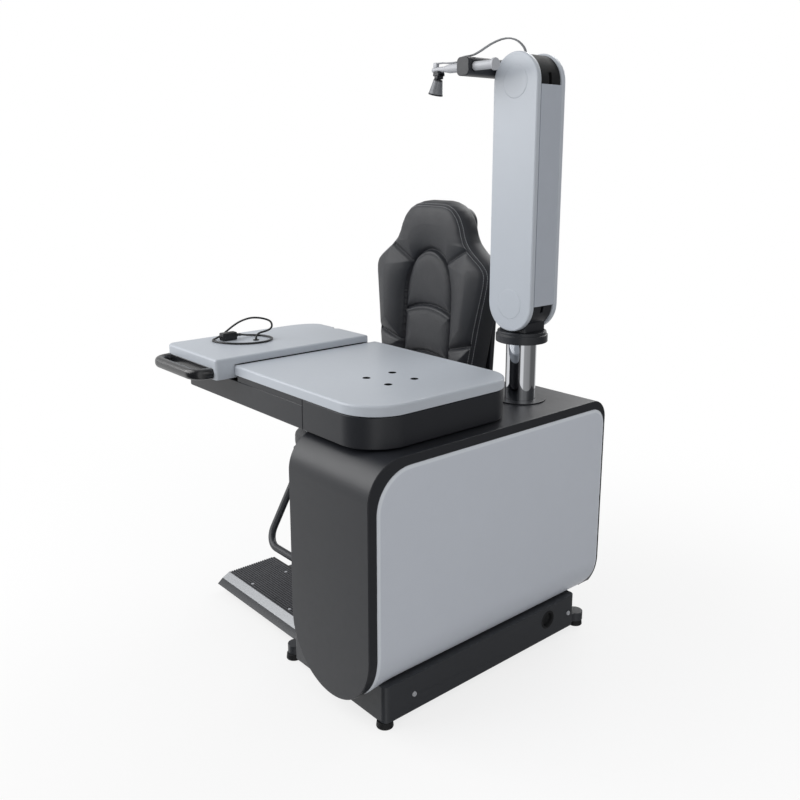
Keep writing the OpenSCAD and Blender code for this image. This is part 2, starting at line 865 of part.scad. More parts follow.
module hole_places() {
    for (x = [-1, 1], y = [-1, 1])
        translate([hole_x + x * hole_span / 2, hole_y + y * hole_span / 2]) children();
}

module table_housing() {
    x = slab_right - housing_inset - housing_w;
    color(black) in_frame() difference() {
        along_z(housing_z, housing_top) table_plan(x, housing_inset);
        along_z(housing_z + housing_wall, housing_top + overrun)
            table_plan(x + housing_wall, housing_inset + housing_wall);
    }
}

module table_arm() {
    x0 = raised_left + raised_wall;
    x1 = slab_right - housing_inset - housing_w;
    y0 = slab_front + housing_inset;
    r = raised_corner_r;
    color(black) in_frame() difference() {
        along_z(housing_z, arm_top) rounded_rect([x0, y0], [x1, y0 + arm_d], [r, 0, 0, r]);
        along_z(housing_z + arm_wall, arm_top + overrun)
            rounded_rect([x0 + arm_wall, y0 + arm_wall], [x1 - arm_wall, y0 + arm_d - arm_wall],
                         [r - arm_wall, 0, 0, r - arm_wall]);
    }
}

module table_rails() {
    x0 = raised_left + raised_wall + raised_corner_r;
    x1 = slab_right - housing_inset - housing_w;
    y0 = slab_front + housing_inset;
    color(charcoal) in_frame() {
        for (y = [y0, y0 + arm_d - rail_w]) {
            box([x0, y, arm_top],
                [raised_right - 2 * raised_wall, y + rail_w, raised_top_z - raised_wall]);
            box([slab_left + raised_wall, y, arm_top], [x1 - overrun, y + rail_w, slab_z]);
        }
        difference() {
            along_z(housing_top, slab_z) table_plan(x1, 2 * housing_inset);
            along_z(housing_top - overrun, slab_z + overrun)
                table_plan(x1 + rail_w, 2 * housing_inset + rail_w);
        }
    }
}

module table_top() {
    color(pale) in_frame() difference() {
        along_z(slab_z, slab_top) table_plan(slab_left, 0);
        translate([0, 0, slab_z - overrun]) hole_places() cylinder(r = hole_r, h = slab_t + 2 * overrun);
    }
}

module raised_top() {
    r = raised_corner_r;
    color(pale) in_frame() difference() {
        along_z(raised_skirt_z, raised_top_z)
            rounded_rect([raised_left, raised_front], [raised_right, raised_rear], [r, 0, 0, r]);
        along_z(raised_skirt_z - overrun, raised_top_z - raised_wall)
            rounded_rect([raised_left + raised_wall, raised_front + raised_wall],
                         [raised_right - raised_wall, raised_rear - raised_wall],
                         [raised_wall, 0, 0, raised_wall]);
        translate([cord_x, raised_rear, raised_skirt_z - overrun]) {
            translate([-notch_w / 2 + notch_d, -notch_d, 0])
                cube([notch_w - 2 * notch_d, 2 * notch_d, raised_top_z]);
            for (s = [-1, 1]) translate([s * (notch_w / 2 - notch_d), 0, 0])
                cylinder(r = notch_d, h = raised_top_z);
        }
        translate([cord_x, cord_y, raised_top_z - 2 * raised_wall])
            cylinder(d = cord_hole_d, h = 4 * raised_wall);
    }
}

module table_handle() {
    x0 = raised_left + (raised_w - handle_w) / 2;
    y0 = raised_front - handle_out;
    r = handle_r;
    inner_r = handle_r - handle_bar / 2;
    color(black) in_frame() difference() {
        along_z(handle_z, handle_z + handle_h)
            rounded_rect([x0, y0], [x0 + handle_w, raised_front], [r, r, 0, 0]);
        along_z(handle_z - overrun, handle_z + handle_h + overrun)
            rounded_rect([x0 + handle_bar, y0 + handle_bar],
                         [x0 + handle_w - handle_bar, raised_front + overrun],
                         [inner_r, inner_r, 0, 0]);
    }
}

module cord_grommet() {
    color(black) in_frame() translate([cord_x, cord_y, raised_top_z]) difference() {
        cylinder(d = grommet_d, h = grommet_h);
        translate([0, 0, -overrun]) cylinder(d = cord_d + 2 * fit, h = grommet_h + 2 * overrun);
    }
}

module cord_lead() {
    color(black) in_frame() translate([cord_x, cord_y, cord_z])
        swept_tube(route(cord_points, 2), cord_d, 10);
}

module cord_plug() {
    end = cord_points[len(cord_points) - 1];
    r = plug_corner_r;
    color(black) in_frame() translate([cord_x + end[0], cord_y + end[1] - gap, cord_z]) {
        along_y(-plug_l, 0) rounded_rect([-plug_w / 2, 0], [plug_w / 2, plug_h], [r, r, r, r]);
        for (s = [-1, 1]) translate([s * plug_w / 4, -plug_l, plug_h / 2]) rotate([90, 0, 0])
            cylinder(d = plug_pins / 3, h = plug_pins);
    }
}

module swivel_collar() {
    color(black) in_frame() translate([column_x, column_y, collar_z]) difference() {
        union() {
            cylinder(d = collar_d, h = collar_step_h);
            cylinder(d = collar_neck_d, h = collar_h);
        }
        translate([0, 0, -overrun]) cylinder(d = column_d + 2 * fit, h = collar_step_h + overrun);
    }
}

// Pin holes of a pivot block: the main pin and the link pin beside it
module block_bores() {
    for (b = [[0, pin_d], [link_offset, link_pin_d]])
        translate([b[0], cheek_gap, 0]) rotate([90, 0, 0])
            cylinder(d = b[1] + 2 * fit, h = 2 * cheek_gap);
}

module arm_yoke() {
    color(black) in_frame() translate([column_x, column_y, pivot_z]) difference() {
        union() {
            along_y(-block_t / 2, block_t / 2) circle(boss_r, $fn = round_sides);
            box([-pedestal_w / 2, -block_t / 2, collar_z + collar_h - pivot_z],
                [pedestal_w / 2, block_t / 2, 0]);
        }
        box([-cheek_r, -link_t / 2 - link_clear, -slot_reach],
            [cheek_r, link_t / 2 + link_clear, cheek_r]);
        block_bores();
    }
}

// The main pin through both cheeks and the link pin between the block sides
module pivot_pins() {
    reach = cheek_gap / 2 + cheek_t - cap_t;
    along_y(-reach, reach) circle(d = pin_d);
    along_y(-block_t / 2, block_t / 2) translate([link_offset, 0]) circle(d = link_pin_d);
}

module lower_pivot_pin() {
    color(silver) in_frame() translate([column_x, column_y, pivot_z]) pivot_pins();
}

module upper_pivot_pin() {
    color(silver) in_frame() translate([column_x, column_y, upper_z]) pivot_pins();
}

// One cheek standing at y = 0 with its outer face at y = -cheek_t
module cheek() {
    difference() {
        along_y(-cheek_t, 0) {
            for (z = [pivot_z, upper_z]) translate([0, z]) circle(cheek_r, $fn = round_sides);
            translate([-cheek_r, pivot_z]) square([cheek_w, arm_link]);
        }
        for (z = [pivot_z, upper_z]) {
            along_y(-2 * cheek_t, cheek_t) translate([0, z]) circle(d = pin_d + 2 * fit);
            along_y(-2 * cheek_t, cap_t - cheek_t) translate([0, z]) circle(d = cap_d + 2 * cap_groove);
        }
    }
}

module arm_cheek_front() {
    color(pale) in_frame() translate([column_x, column_y - cheek_gap / 2, 0]) cheek();
}

module arm_cheek_rear() {
    color(pale) in_frame() translate([column_x, column_y + cheek_gap / 2, 0]) mirror([0, 1, 0]) cheek();
}

module spine() {
    box([spine_in, -cheek_gap / 2, spine_low], [spine_in + spine_t, cheek_gap / 2, spine_high]);
}

module arm_spine_outer() { color(silver) in_frame() translate([column_x, column_y, 0]) spine(); }

module arm_spine_inner() {
    color(silver) in_frame() translate([column_x, column_y, 0]) mirror([1, 0, 0]) spine();
}

module pivot_caps() {
    out = cheek_gap / 2 + cheek_t;
    color(pale) in_frame() for (z = [pivot_z, upper_z], s = [-1, 1])
        translate([column_x, column_y, z]) mirror([0, s > 0 ? 1 : 0, 0])
            along_y(-out - cap_groove / 2, cap_t - out) circle(d = cap_d);
}

module leveling_link() {
    color(steel) in_frame() translate([column_x + link_offset, column_y, 0]) difference() {
        along_y(-link_t / 2, link_t / 2) {
            for (z = [pivot_z, upper_z]) translate([0, z]) circle(d = link_w);
            translate([-link_w / 4, pivot_z]) square([link_w / 2, arm_link]);
        }
        for (z = [pivot_z, upper_z])
            along_y(-link_t, link_t) translate([0, z]) circle(d = link_pin_d + 2 * fit);
    }
}

module head_block() {
    color(black) in_frame() translate([column_x, column_y, upper_z]) {
        difference() {
            union() {
                along_y(-block_t / 2, block_t / 2) circle(boss_r, $fn = round_sides);
                box([bar_x + bar_w / 2 - column_x, -block_t / 2, bar_z - upper_z - neck_h / 2],
                    [-link_offset, block_t / 2, bar_z - upper_z + neck_h / 2]);
            }
            box([-cheek_r, -link_t / 2 - link_clear, -cheek_r],
                [cheek_r, link_t / 2 + link_clear, slot_reach]);
            block_bores();
        }
        translate([cable_points[0][0], 0, boss_r - gland_h])
            cylinder(d = gland_d, h = gland_h + gland_top);
    }
}

module cross_bar() {
    color(black) in_frame() difference() {
        along_y(bar_y0, bar_y1)
            rounded_rect([bar_x - bar_w / 2, bar_z - bar_h / 2], [bar_x + bar_w / 2, bar_z + bar_h / 2],
                         [bar_r, bar_r, bar_r, bar_r]);
        along_x(bar_x - bar_w, bar_x + bar_w) translate([rod_y, bar_z]) circle(d = rod_d + 2 * fit);
    }
}

module support_rod() {
    color(silver) in_frame() translate([rod_x0, rod_y, bar_z]) rotate([0, 90, 0]) {
        cylinder(d = rod_tip_d, h = rod_tip_len);
        translate([0, 0, rod_tip_len]) cylinder(d1 = rod_tip_d, d2 = rod_d, h = rod_taper);
        translate([0, 0, rod_tip_len + rod_taper])
            cylinder(d = rod_d, h = rod_len - rod_tip_len - rod_taper + bar_w / 2);
        translate([0, 0, -rod_nut_t]) cylinder(d = rod_nut_d, h = rod_nut_t);
    }
}

module lamp_cable() {
    color(steel) in_frame() for (s = [-0.5, 0.5])
        translate([column_x, column_y + s * cable_pitch, upper_z])
            swept_tube(route(concat(cable_points, cable_tail), 2), cable_d, 8);
}

module lamp_bracket() {
    ear_y = lamp_neck_w / 2 + side_gap;
    color(black) in_frame() translate([lamp_x, rod_y, 0]) difference() {
        union() {
            along_x(-bracket_w / 2, bracket_w / 2) translate([0, bar_z]) circle(d = bracket_d);
            for (s = [-1, 1]) mirror([0, s > 0 ? 1 : 0, 0]) along_y(-ear_y - lamp_ear_t, -ear_y) {
                translate([0, lamp_pin_z]) circle(lamp_ear_r);
                translate([-lamp_ear_r, lamp_pin_z]) square([2 * lamp_ear_r, bar_z - lamp_pin_z]);
            }
        }
        along_x(-bracket_w, bracket_w) translate([0, bar_z]) circle(d = rod_tip_d + 2 * fit);
        along_y(-ear_y, ear_y) translate([0, lamp_pin_z]) circle(lamp_ear_r + overrun);
        along_y(-bracket_w, bracket_w) translate([0, lamp_pin_z]) circle(d = lamp_pin_d + 2 * fit);
    }
}

module clamp_knob() {
    color(silver) in_frame() translate([bar_x + bar_w / 2, rod_y, bar_z]) rotate([0, 90, 0]) {
        translate([0, 0, side_gap]) cylinder(d = knob_d, h = knob_len - knob_cap_t);
        translate([0, 0, knob_len - knob_cap_t]) cylinder(d = knob_cap_d, h = knob_cap_t);
        translate([0, 0, side_gap - bar_w / 4]) cylinder(d = knob_shank_d, h = bar_w / 2);
    }
}

// The lamp hangs from its pin at the origin and leans away from the console
module lamp_pose() {
    in_frame() translate([lamp_x, rod_y, lamp_pin_z]) rotate([0, lamp_tilt, 0]) children();
}

module lamp_neck() {
    ear_y = lamp_neck_w / 2 + side_gap;
    color(black) lamp_pose() {
        along_y(-lamp_neck_w / 2, lamp_neck_w / 2) circle(lamp_ear_r);
        translate([0, 0, -lamp_neck_h]) cylinder(d = lamp_neck_w, h = lamp_neck_h);
        along_y(-ear_y - lamp_ear_t, ear_y + lamp_ear_t) circle(d = lamp_pin_d);
    }
}

module lamp_shell() {
    color(silver) lamp_pose() translate([0, 0, -lamp_neck_h - lamp_shell_h]) difference() {
        cylinder(d1 = lamp_mouth_d, d2 = lamp_top_d, h = lamp_shell_h);
        translate([0, 0, -overrun])
            cylinder(d1 = lamp_mouth_d - 2 * lamp_wall, d2 = lamp_top_d - 2 * lamp_wall,
                     h = lamp_shell_h - lamp_wall);
    }
}

module lamp_bezel() {
    color(black) lamp_pose() translate([0, 0, -lamp_neck_h - lamp_shell_h - bezel_t]) difference() {
        cylinder(d = lamp_mouth_d + lamp_wall, h = bezel_t);
        translate([0, 0, -overrun])
            cylinder(d = lamp_mouth_d - 4 * lamp_wall, h = bezel_t + 2 * overrun);
        translate([0, 0, bezel_t / 2]) cylinder(d = lamp_mouth_d - 2 * lamp_wall, h = bezel_t);
    }
}

module lamp_lens() {
    color(pale) lamp_pose() translate([0, 0, -lamp_neck_h - lamp_shell_h - bezel_t / 2])
        cylinder(d = lamp_mouth_d - 3 * lamp_wall, h = bezel_t / 2);
}

module chair_column_inner() {
    color(chrome) in_frame() translate([chair_x, chair_y, chair_inner_low]) difference() {
        cylinder(d = chair_inner_d, h = pan_z - chair_inner_low);
        translate([0, 0, -overrun])
            cylinder(d = chair_inner_d - 2 * chair_inner_wall, h = pan_z - chair_inner_low - pan_t);
    }
}

module seat_pan() {
    half = seat_w / 2 - pan_inset;
    color(black) in_frame() along_z(pan_z, pan_z + pan_t)
        rounded_rect([chair_x - half, seat_y0 + pan_setback], [chair_x + half, seat_y1 - pan_setback],
                     [pan_r, pan_r, pan_r, pan_r]);
}

function power(v, e) = v == 0 ? 0 : sign(v) * pow(abs(v), e);

module seat_cushion() {
    sides = seat_sides;
    points = flat([
        for (loop = seat_loop_shares)
            [for (s = [0:sides - 1])
                let (a = 360 * (s + 0.5) / sides,
                     px = power(cos(a), seat_square_share), py = power(sin(a), seat_square_share))
                    [seat_w / 2 * loop[0] * px, seat_d / 2 * loop[0] * py, seat_t * loop[1]]]
    ]);
    color(charcoal) in_frame() translate([chair_x, seat_y0 + seat_d / 2, cushion_z])
        polyhedron(points, concat(ring_faces(len(seat_loop_shares), sides), cap_faces(0, sides, 1),
                                  cap_faces((len(seat_loop_shares) - 1) * sides, sides, -1)));
}

module foot_hoop() {
    straight = hoop_len - hoop_r;
    color(black) in_frame() difference() {
        translate([chair_x, hoop_y, pan_z]) rotate([-hoop_tilt, 0, 0]) {
            for (s = [0, 1]) mirror([s, 0, 0]) {
                translate([hoop_x, 0, -straight]) cylinder(d = hoop_d, h = straight + hoop_d);
                translate([hoop_x - hoop_r, 0, -straight]) rotate([-90, 0, 0])
                    rotate_extrude(angle = 90) translate([hoop_r, 0]) circle(d = hoop_d);
            }
            translate([hoop_r - hoop_x, 0, -hoop_len]) rotate([0, 90, 0])
                cylinder(d = hoop_d, h = 2 * (hoop_x - hoop_r));
        }
        box([chair_x - seat_w, seat_y0 - seat_d, pan_z], [chair_x + seat_w, seat_y1, seat_top]);
    }
}

module recline_brackets() {
    low = pan_z - bracket_drop;
    color(steel) in_frame() for (s = [0, 1]) translate([chair_x, 0, 0]) mirror([s, 0, 0]) {
        along_x(ear_x, ear_x + ear_t) {
            translate([back_pivot_y - bracket_run, low])
                square([bracket_run + ear_r, bracket_drop]);
            translate([back_pivot_y - ear_r, low]) square([2 * ear_r, back_pivot_z - low]);
            translate([back_pivot_y, back_pivot_z]) circle(ear_r);
        }
        along_x(ear_x - ear_gap - 1.5 * ear_t, ear_x + 1.5 * ear_t)
            translate([back_pivot_y, back_pivot_z]) circle(d = recline_pin_d);
    }
}

// The back stands on its recline pivot at the origin: y is forward and back, z is up the back
module back_pose() {
    in_frame() translate([chair_x, back_pivot_y, back_pivot_z]) rotate([-back_lean, 0, 0]) children();
}

// Two joined rounded rectangles, body and headrest, between y0 and y1
module back_board(w_shares, z_shares, y0, y1) {
    r = back_round;
    half = back_w / 2 * w_shares[0];
    head = back_w / 2 * w_shares[1];
    low = back_low + back_h * z_shares[0];
    shoulder = back_low + back_h * z_shares[1];
    top = back_low + back_h * z_shares[2];
    along_y(y0, y1) {
        rounded_rect([-half, low], [half, shoulder], [r, r, 1.6 * r, 1.6 * r]);
        rounded_rect([-head, shoulder - 2 * r], [head, top], [r, r, r, r]);
    }
}

module back_frame() {
    x1 = ear_x - ear_gap;
    x0 = x1 - ear_t;
    ear_top = back_low + back_h * board_z_shares[0] + ear_lap;
    color(steel) back_pose() difference() {
        union() {
            back_board(board_w_shares, board_z_shares, back_rear + gap, back_rear + gap + board_t);
            for (s = [0, 1]) mirror([s, 0, 0]) along_x(x0, x1) {
                circle(ear_r);
                translate([0, -ear_r]) square([back_rear + gap + board_t, 2 * ear_r]);
                translate([back_rear + gap, -ear_r]) square([board_t, ear_top + ear_r]);
            }
        }
        along_x(-seat_w, seat_w) circle(d = recline_pin_d + 2 * fit);
    }
}

module back_shell() {
    y0 = back_rear + 2 * gap + board_t;
    color(black) back_pose() difference() {
        back_board(shell_w_shares, shell_z_shares, y0, y0 + shell_t);
        along_y(y0 + shell_t * 0.8, y0 + 2 * shell_t)
            translate([0, back_low + back_h * shell_z_shares[1] - 3 * back_round])
                scale([2, 1]) circle(back_round);
    }
}

// Whole cross section of the back, left edge to right edge: place across, depth, bolster
function back_section() = concat(
    back_column_shares,
    [back_middle_shares],
    [for (i = [len(back_column_shares) - 1:-1:0])
        let (c = back_column_shares[i]) [-c[0], c[1], c[2]]]
);

module back_cushion() {
    section = back_section();
    points = flat([
        for (level = back_level_shares)
            [for (c = section)
                [back_w / 2 * level[1] * c[0],
                 back_rear - (back_t - bolster_rise) * level[2] * c[1]
                     - bolster_rise * level[3] * (c[2] + 0.5) * c[1],
                 back_low + back_h * level[0]]]
    ]);
    color(charcoal) back_pose()
        polyhedron(points, concat(
            ring_faces(len(back_level_shares), len(section)), cap_faces(0, len(section), 1),
            cap_faces((len(back_level_shares) - 1) * len(section), len(section), -1)));
}

leveling_feet();
base_frame();
frame_bolts();
chair_base_plate();
console_shell();
side_panel_outer();
side_panel_inner();
inner_frame();
power_box();
table_lift_guide();
column_flange();
column_tube();
chair_column_outer();
footrest_plate();
footrest_trim();
footrest_tread();
footrest_screws();
table_lift_tube();
table_lift_pad();
table_housing();
table_arm();
table_rails();
table_top();
raised_top();
table_handle();
cord_grommet();
cord_lead();
cord_plug();
swivel_collar();
arm_yoke();
lower_pivot_pin();
arm_cheek_front();
arm_cheek_rear();
arm_spine_outer();
arm_spine_inner();
pivot_caps();
upper_pivot_pin();
leveling_link();
head_block();
cross_bar();
support_rod();
lamp_cable();
lamp_bracket();
clamp_knob();
lamp_neck();
lamp_shell();
lamp_bezel();
lamp_lens();
chair_column_inner();
seat_pan();
seat_cushion();
foot_hoop();
recline_brackets();
back_frame();
back_cushion();
back_shell();
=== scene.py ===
"""Looks of the examination chair unit: console, table, parallel-link arm and padded chair.

Lengths are in metres, and in mm where a name, a docstring or a comment says so. Places in mm are
the part's own drawing's, counted from the axis of its front right foot, and drawing() turns them
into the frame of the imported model.
"""

import json
import math

import bmesh
import bpy
import numpy as np
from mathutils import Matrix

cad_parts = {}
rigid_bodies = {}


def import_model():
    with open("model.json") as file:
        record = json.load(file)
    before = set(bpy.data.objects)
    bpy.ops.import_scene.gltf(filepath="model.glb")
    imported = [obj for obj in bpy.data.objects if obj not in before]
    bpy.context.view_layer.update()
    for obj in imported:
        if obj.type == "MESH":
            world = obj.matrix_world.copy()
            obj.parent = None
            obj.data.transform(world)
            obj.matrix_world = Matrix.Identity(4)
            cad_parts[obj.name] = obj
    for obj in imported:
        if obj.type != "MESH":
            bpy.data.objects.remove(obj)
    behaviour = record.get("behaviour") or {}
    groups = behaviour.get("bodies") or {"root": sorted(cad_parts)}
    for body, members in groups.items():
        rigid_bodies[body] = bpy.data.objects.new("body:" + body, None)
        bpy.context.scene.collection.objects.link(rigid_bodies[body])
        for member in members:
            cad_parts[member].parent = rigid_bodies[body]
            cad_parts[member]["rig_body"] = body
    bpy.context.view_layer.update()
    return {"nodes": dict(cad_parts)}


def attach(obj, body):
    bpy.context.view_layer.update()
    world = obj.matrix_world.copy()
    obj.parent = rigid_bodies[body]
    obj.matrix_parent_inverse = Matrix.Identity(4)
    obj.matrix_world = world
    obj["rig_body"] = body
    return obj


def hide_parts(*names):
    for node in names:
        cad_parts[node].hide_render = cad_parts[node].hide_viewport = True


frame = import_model()
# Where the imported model's middle stands in the drawing.
MIDDLE = np.array([-0.4785, 0.3575, 0.0])


def drawing(x, y, z):
    """Places of the drawing, in mm from the front right foot, in the frame of the model."""
    return np.stack(np.broadcast_arrays(x, y, z), -1) / 1000 - MIDDLE


def full_turn(count):
    """The angles of count even steps round a circle, in radians."""
    return np.linspace(0, 2 * math.pi, count, endpoint=False)


def new_object(name, data):
    """A new object in the scene."""
    made = bpy.data.objects.new(name, data)
    bpy.context.scene.collection.objects.link(made)
    return made


# -------- camera, light and floor

# The photograph's camera, solved from its verticals, the console and the slabs.
CAMERA_PLACE = (2.0595, -1.6655, 1.486)
CAMERA_DIP, CAMERA_ROUND = 12.6, 49.27  # degrees below the level and round from the front
LENS_MM, SENSOR_MM, LENS_SHIFT = 38.97, 36, -0.06


def set_camera():
    """The photograph's view: from the front, 49 degrees round towards the console, looking down."""
    camera = new_object("camera", bpy.data.cameras.new("camera"))
    camera.location = CAMERA_PLACE
    camera.rotation_euler = (math.radians(90 - CAMERA_DIP), 0, math.radians(CAMERA_ROUND))
    camera.data.lens = LENS_MM
    camera.data.sensor_width = SENSOR_MM
    camera.data.shift_y = LENS_SHIFT
    bpy.context.scene.camera = camera


def add(tree, kind, settings=None, links=None):
    """Adds a shader node. settings are its attributes or its sockets' values, and links feed its
    sockets: each is another node's socket, or a node for its first one."""
    node = tree.nodes.new("ShaderNode" + kind)
    for key, value in (settings or {}).items():
        if isinstance(key, str) and hasattr(node, key):
            setattr(node, key, value)
        else:
            node.inputs[key].default_value = value
    for key, source in (links or {}).items():
        first = isinstance(source, bpy.types.Node)
        tree.links.new(source.outputs[0] if first else source, node.inputs[key])
    return node


def area_light(name, place, aim, size, power):
    """A soft square lamp at place that looks at aim."""
    data = bpy.data.lights.new(name, "AREA")
    data.shape, data.size, data.energy = "SQUARE", size, power
    lamp = new_object(name, data)
    lamp.location = place
    direction = np.array(aim, float) - np.array(place, float)
    yaw = math.atan2(-direction[0], direction[1])
    pitch = math.atan2(direction[2], math.hypot(direction[0], direction[1]))
    lamp.rotation_euler = (math.pi / 2 + pitch, 0, yaw)


# Tall soft boxes and dark flags that gloss sees round the object: share of a turn, level.
SOFT_BOXES = [(0.0, 0.7), (0.045, 1.0), (0.12, 1.0), (0.15, 0.07), (0.345, 0.07), (0.37, 1.0),
              (0.41, 1.0), (0.44, 0.42), (0.54, 0.36), (0.6, 0.16), (0.72, 0.16), (0.79, 0.85),
              (0.85, 0.6), (0.93, 0.6), (0.97, 0.7), (1.0, 0.7)]
FILL_LEVEL = 0.52
# Soft lamps: name, place, aim, size in metres and power in watts.
LAMPS = [("key", (-2.4, -3.3, 3.3), (0, 0, 0.8), 4.2, 176),
         ("side", (3.6, -0.6, 2.4), (0, 0, 0.8), 2.6, 15),
         ("behind", (-0.5, 3.4, 3.0), (0, 0, 1.0), 2.4, 60)]


def set_light():
    """A white studio: the camera and glass see white, gloss sees soft boxes and dark flags, and
    soft lamps light the object over an even fill."""
    scene = bpy.context.scene
    scene.view_settings.view_transform = "Standard"
    world = bpy.data.worlds.new("studio")
    scene.world = world
    world.use_nodes = True
    tree = world.node_tree
    tree.nodes.clear()
    path = add(tree, "LightPath")
    coords = add(tree, "TexCoord")
    apart = add(tree, "SeparateXYZ", links={0: coords.outputs["Generated"]})
    turn = add(tree, "Math", {"operation": "ARCTAN2"}, {0: apart.outputs[1], 1: apart})
    share = add(tree, "MapRange", {1: -math.pi, 2: math.pi}, {0: turn})
    boxes = add(tree, "ValToRGB", links={0: share})
    boxes.color_ramp.interpolation = "EASE"
    for place, _ in SOFT_BOXES[1:-1]:
        boxes.color_ramp.elements.new(place)
    for mark, (place, level) in zip(boxes.color_ramp.elements, SOFT_BOXES):
        mark.position, mark.color = place, (level, level, level, 1)
    seen = add(tree, "Math", {"operation": "MAXIMUM"},
               {0: path.outputs["Is Camera Ray"], 1: path.outputs["Is Transmission Ray"]})
    gloss = add(tree, "Mix", {"data_type": "FLOAT", 2: FILL_LEVEL},
                {0: path.outputs["Is Glossy Ray"], 3: boxes})
    level = add(tree, "Mix", {"data_type": "FLOAT", 3: 1.0}, {0: seen, 2: gloss})
    white = add(tree, "Background", {"Color": (1, 1, 1, 1)}, {"Strength": level})
    add(tree, "OutputWorld", links={"Surface": white})
    for lamp in LAMPS:
        area_light(*lamp)


FLOOR_RADIUS, FLOOR_SIDES, FLOOR_LEVEL = 2.8, 96, -0.0002
# The floor's share of the picture: this much as far as the first radius, none past the second.
FLOOR_SHARE, FLOOR_NEAR, FLOOR_FAR = 0.22, 0.9, 2.6


def set_floor():
    """A pale disc whose middle takes the object's shadow and whose rim melts into the white. Gloss
    looks through it at the soft boxes."""
    mesh = bpy.data.meshes.new("floor")
    turn = full_turn(FLOOR_SIDES)
    rim = np.stack([FLOOR_RADIUS * np.cos(turn), FLOOR_RADIUS * np.sin(turn),
                    0 * turn + FLOOR_LEVEL], 1)
    mesh.from_pydata(rim.tolist(), [], [list(range(FLOOR_SIDES))])
    floor = new_object("floor", mesh)
    material = bpy.data.materials.new("pale studio floor")
    material.use_nodes = True
    tree = material.node_tree
    tree.nodes.clear()
    coords = add(tree, "TexCoord")
    far = add(tree, "VectorMath", {"operation": "LENGTH"}, {0: coords.outputs["Object"]})
    near = add(tree, "MapRange", {"interpolation_type": "SMOOTHSTEP", 1: FLOOR_NEAR,
                                  2: FLOOR_FAR, 3: FLOOR_SHARE, 4: 0.0}, {0: far.outputs[1]})
    matte = add(tree, "BsdfDiffuse", {"Color": (0.86, 0.86, 0.86, 1)})
    glow = add(tree, "Emission", {"Color": (1, 1, 1, 1)})
    mixed = add(tree, "MixShader", links={0: near, 1: glow, 2: matte})
    path = add(tree, "LightPath")
    plain = add(tree, "BsdfDiffuse", {"Color": (0.6, 0.6, 0.6, 1)})
    clear = add(tree, "BsdfTransparent")
    face = add(tree, "MixShader", links={0: path.outputs["Is Camera Ray"], 1: plain, 2: mixed})
    out = add(tree, "MixShader", links={0: path.outputs["Is Glossy Ray"], 1: face, 2: clear})
    add(tree, "OutputMaterial", links={"Surface": out})
    mesh.materials.append(material)


# -------- finishes


def to_linear(hex_colour):
    """sRGB hex to linear red, green, blue and full alpha."""
    channels = [int(hex_colour[i:i + 2], 16) / 255 for i in (1, 3, 5)]
    return tuple(c / 12.92 if c <= 0.04045 else ((c + 0.055) / 1.055) ** 2.4
                 for c in channels) + (1.0,)


COAT_ROUGHNESS = 0.12
NOISE_LOW, NOISE_HIGH = 0.3, 0.7  # where nearly all of a noise texture's values lie
WEAR_FINER = 2.6  # the gloss drifts in patches this many times smaller than the colour's


def finish(name, hex_colour, roughness, metallic=0.0, shade=0.06, mottle_mm=60, grain_mm=None,
           rough_spread=0.06, coat=0.0, specular=0.5, cells=False, lay=(1, 1, 1)):
    """A finish: its colour drifts by shade over mottle_mm, and its gloss by rough_spread. grain_mm
    is the size and height of its grain, leather's cells or noise. All patterns read Object
    coordinates in metres, and lay squeezes them along an axis, as turning and brushing do."""
    material = bpy.data.materials.new(name)
    material.use_nodes = True
    tree = material.node_tree
    shader = tree.nodes["Principled BSDF"]
    for key, value in {"Metallic": metallic, "Specular IOR Level": specular,
                       "Coat Weight": coat, "Coat Roughness": COAT_ROUGHNESS}.items():
        shader.inputs[key].default_value = value
    coords = add(tree, "TexCoord")
    place = add(tree, "Mapping", {"Scale": lay}, {"Vector": coords.outputs["Object"]})
    mottle = add(tree, "TexNoise", {"Scale": 1000 / mottle_mm, "Detail": 4.0,
                                    "Roughness": 0.6}, {"Vector": place})
    base = to_linear(hex_colour)
    dark = tuple(c * (1 - shade) for c in base[:3]) + (1.0,)
    light = tuple(min(1.0, c * (1 + shade)) for c in base[:3]) + (1.0,)
    tint = add(tree, "Mix", {"data_type": "RGBA", 6: dark, 7: light}, {0: mottle})
    tree.links.new(tint.outputs[2], shader.inputs["Base Color"])
    wear = add(tree, "TexNoise", {"Scale": 1000 * WEAR_FINER / mottle_mm, "Detail": 6.0,
                                  "Roughness": 0.7}, {"Vector": place})
    low, high = roughness - rough_spread / 2, roughness + rough_spread / 2
    gloss = add(tree, "MapRange", {1: NOISE_LOW, 2: NOISE_HIGH, 3: low, 4: high}, {0: wear})
    tree.links.new(gloss.outputs[0], shader.inputs["Roughness"])
    if grain_mm:
        if cells:
            edges = add(tree, "TexVoronoi", {"feature": "DISTANCE_TO_EDGE",
                                             "Scale": 1000 / grain_mm[0]}, {"Vector": place})
            height = add(tree, "MapRange", {2: 0.35}, {0: edges})
        else:
            height = add(tree, "TexNoise", {"Scale": 1000 / grain_mm[0], "Detail": 3.0},
                         {"Vector": place})
        bump = add(tree, "Bump", {"Distance": grain_mm[1] / 1000}, {"Height": height})
        tree.links.new(bump.outputs[0], shader.inputs["Normal"])
    return material


def repaint(material, hex_colour, share):
    """Turns a finish to another colour where share, a socket or a node, goes to 1."""
    tree = material.node_tree
    shader = tree.nodes["Principled BSDF"]
    face = shader.inputs["Base Color"].links[0].from_socket
    tint = add(tree, "Mix", {"data_type": "RGBA", 7: to_linear(hex_colour)}, {0: share, 6: face})
    tree.links.new(tint.outputs[2], shader.inputs["Base Color"])
    return material


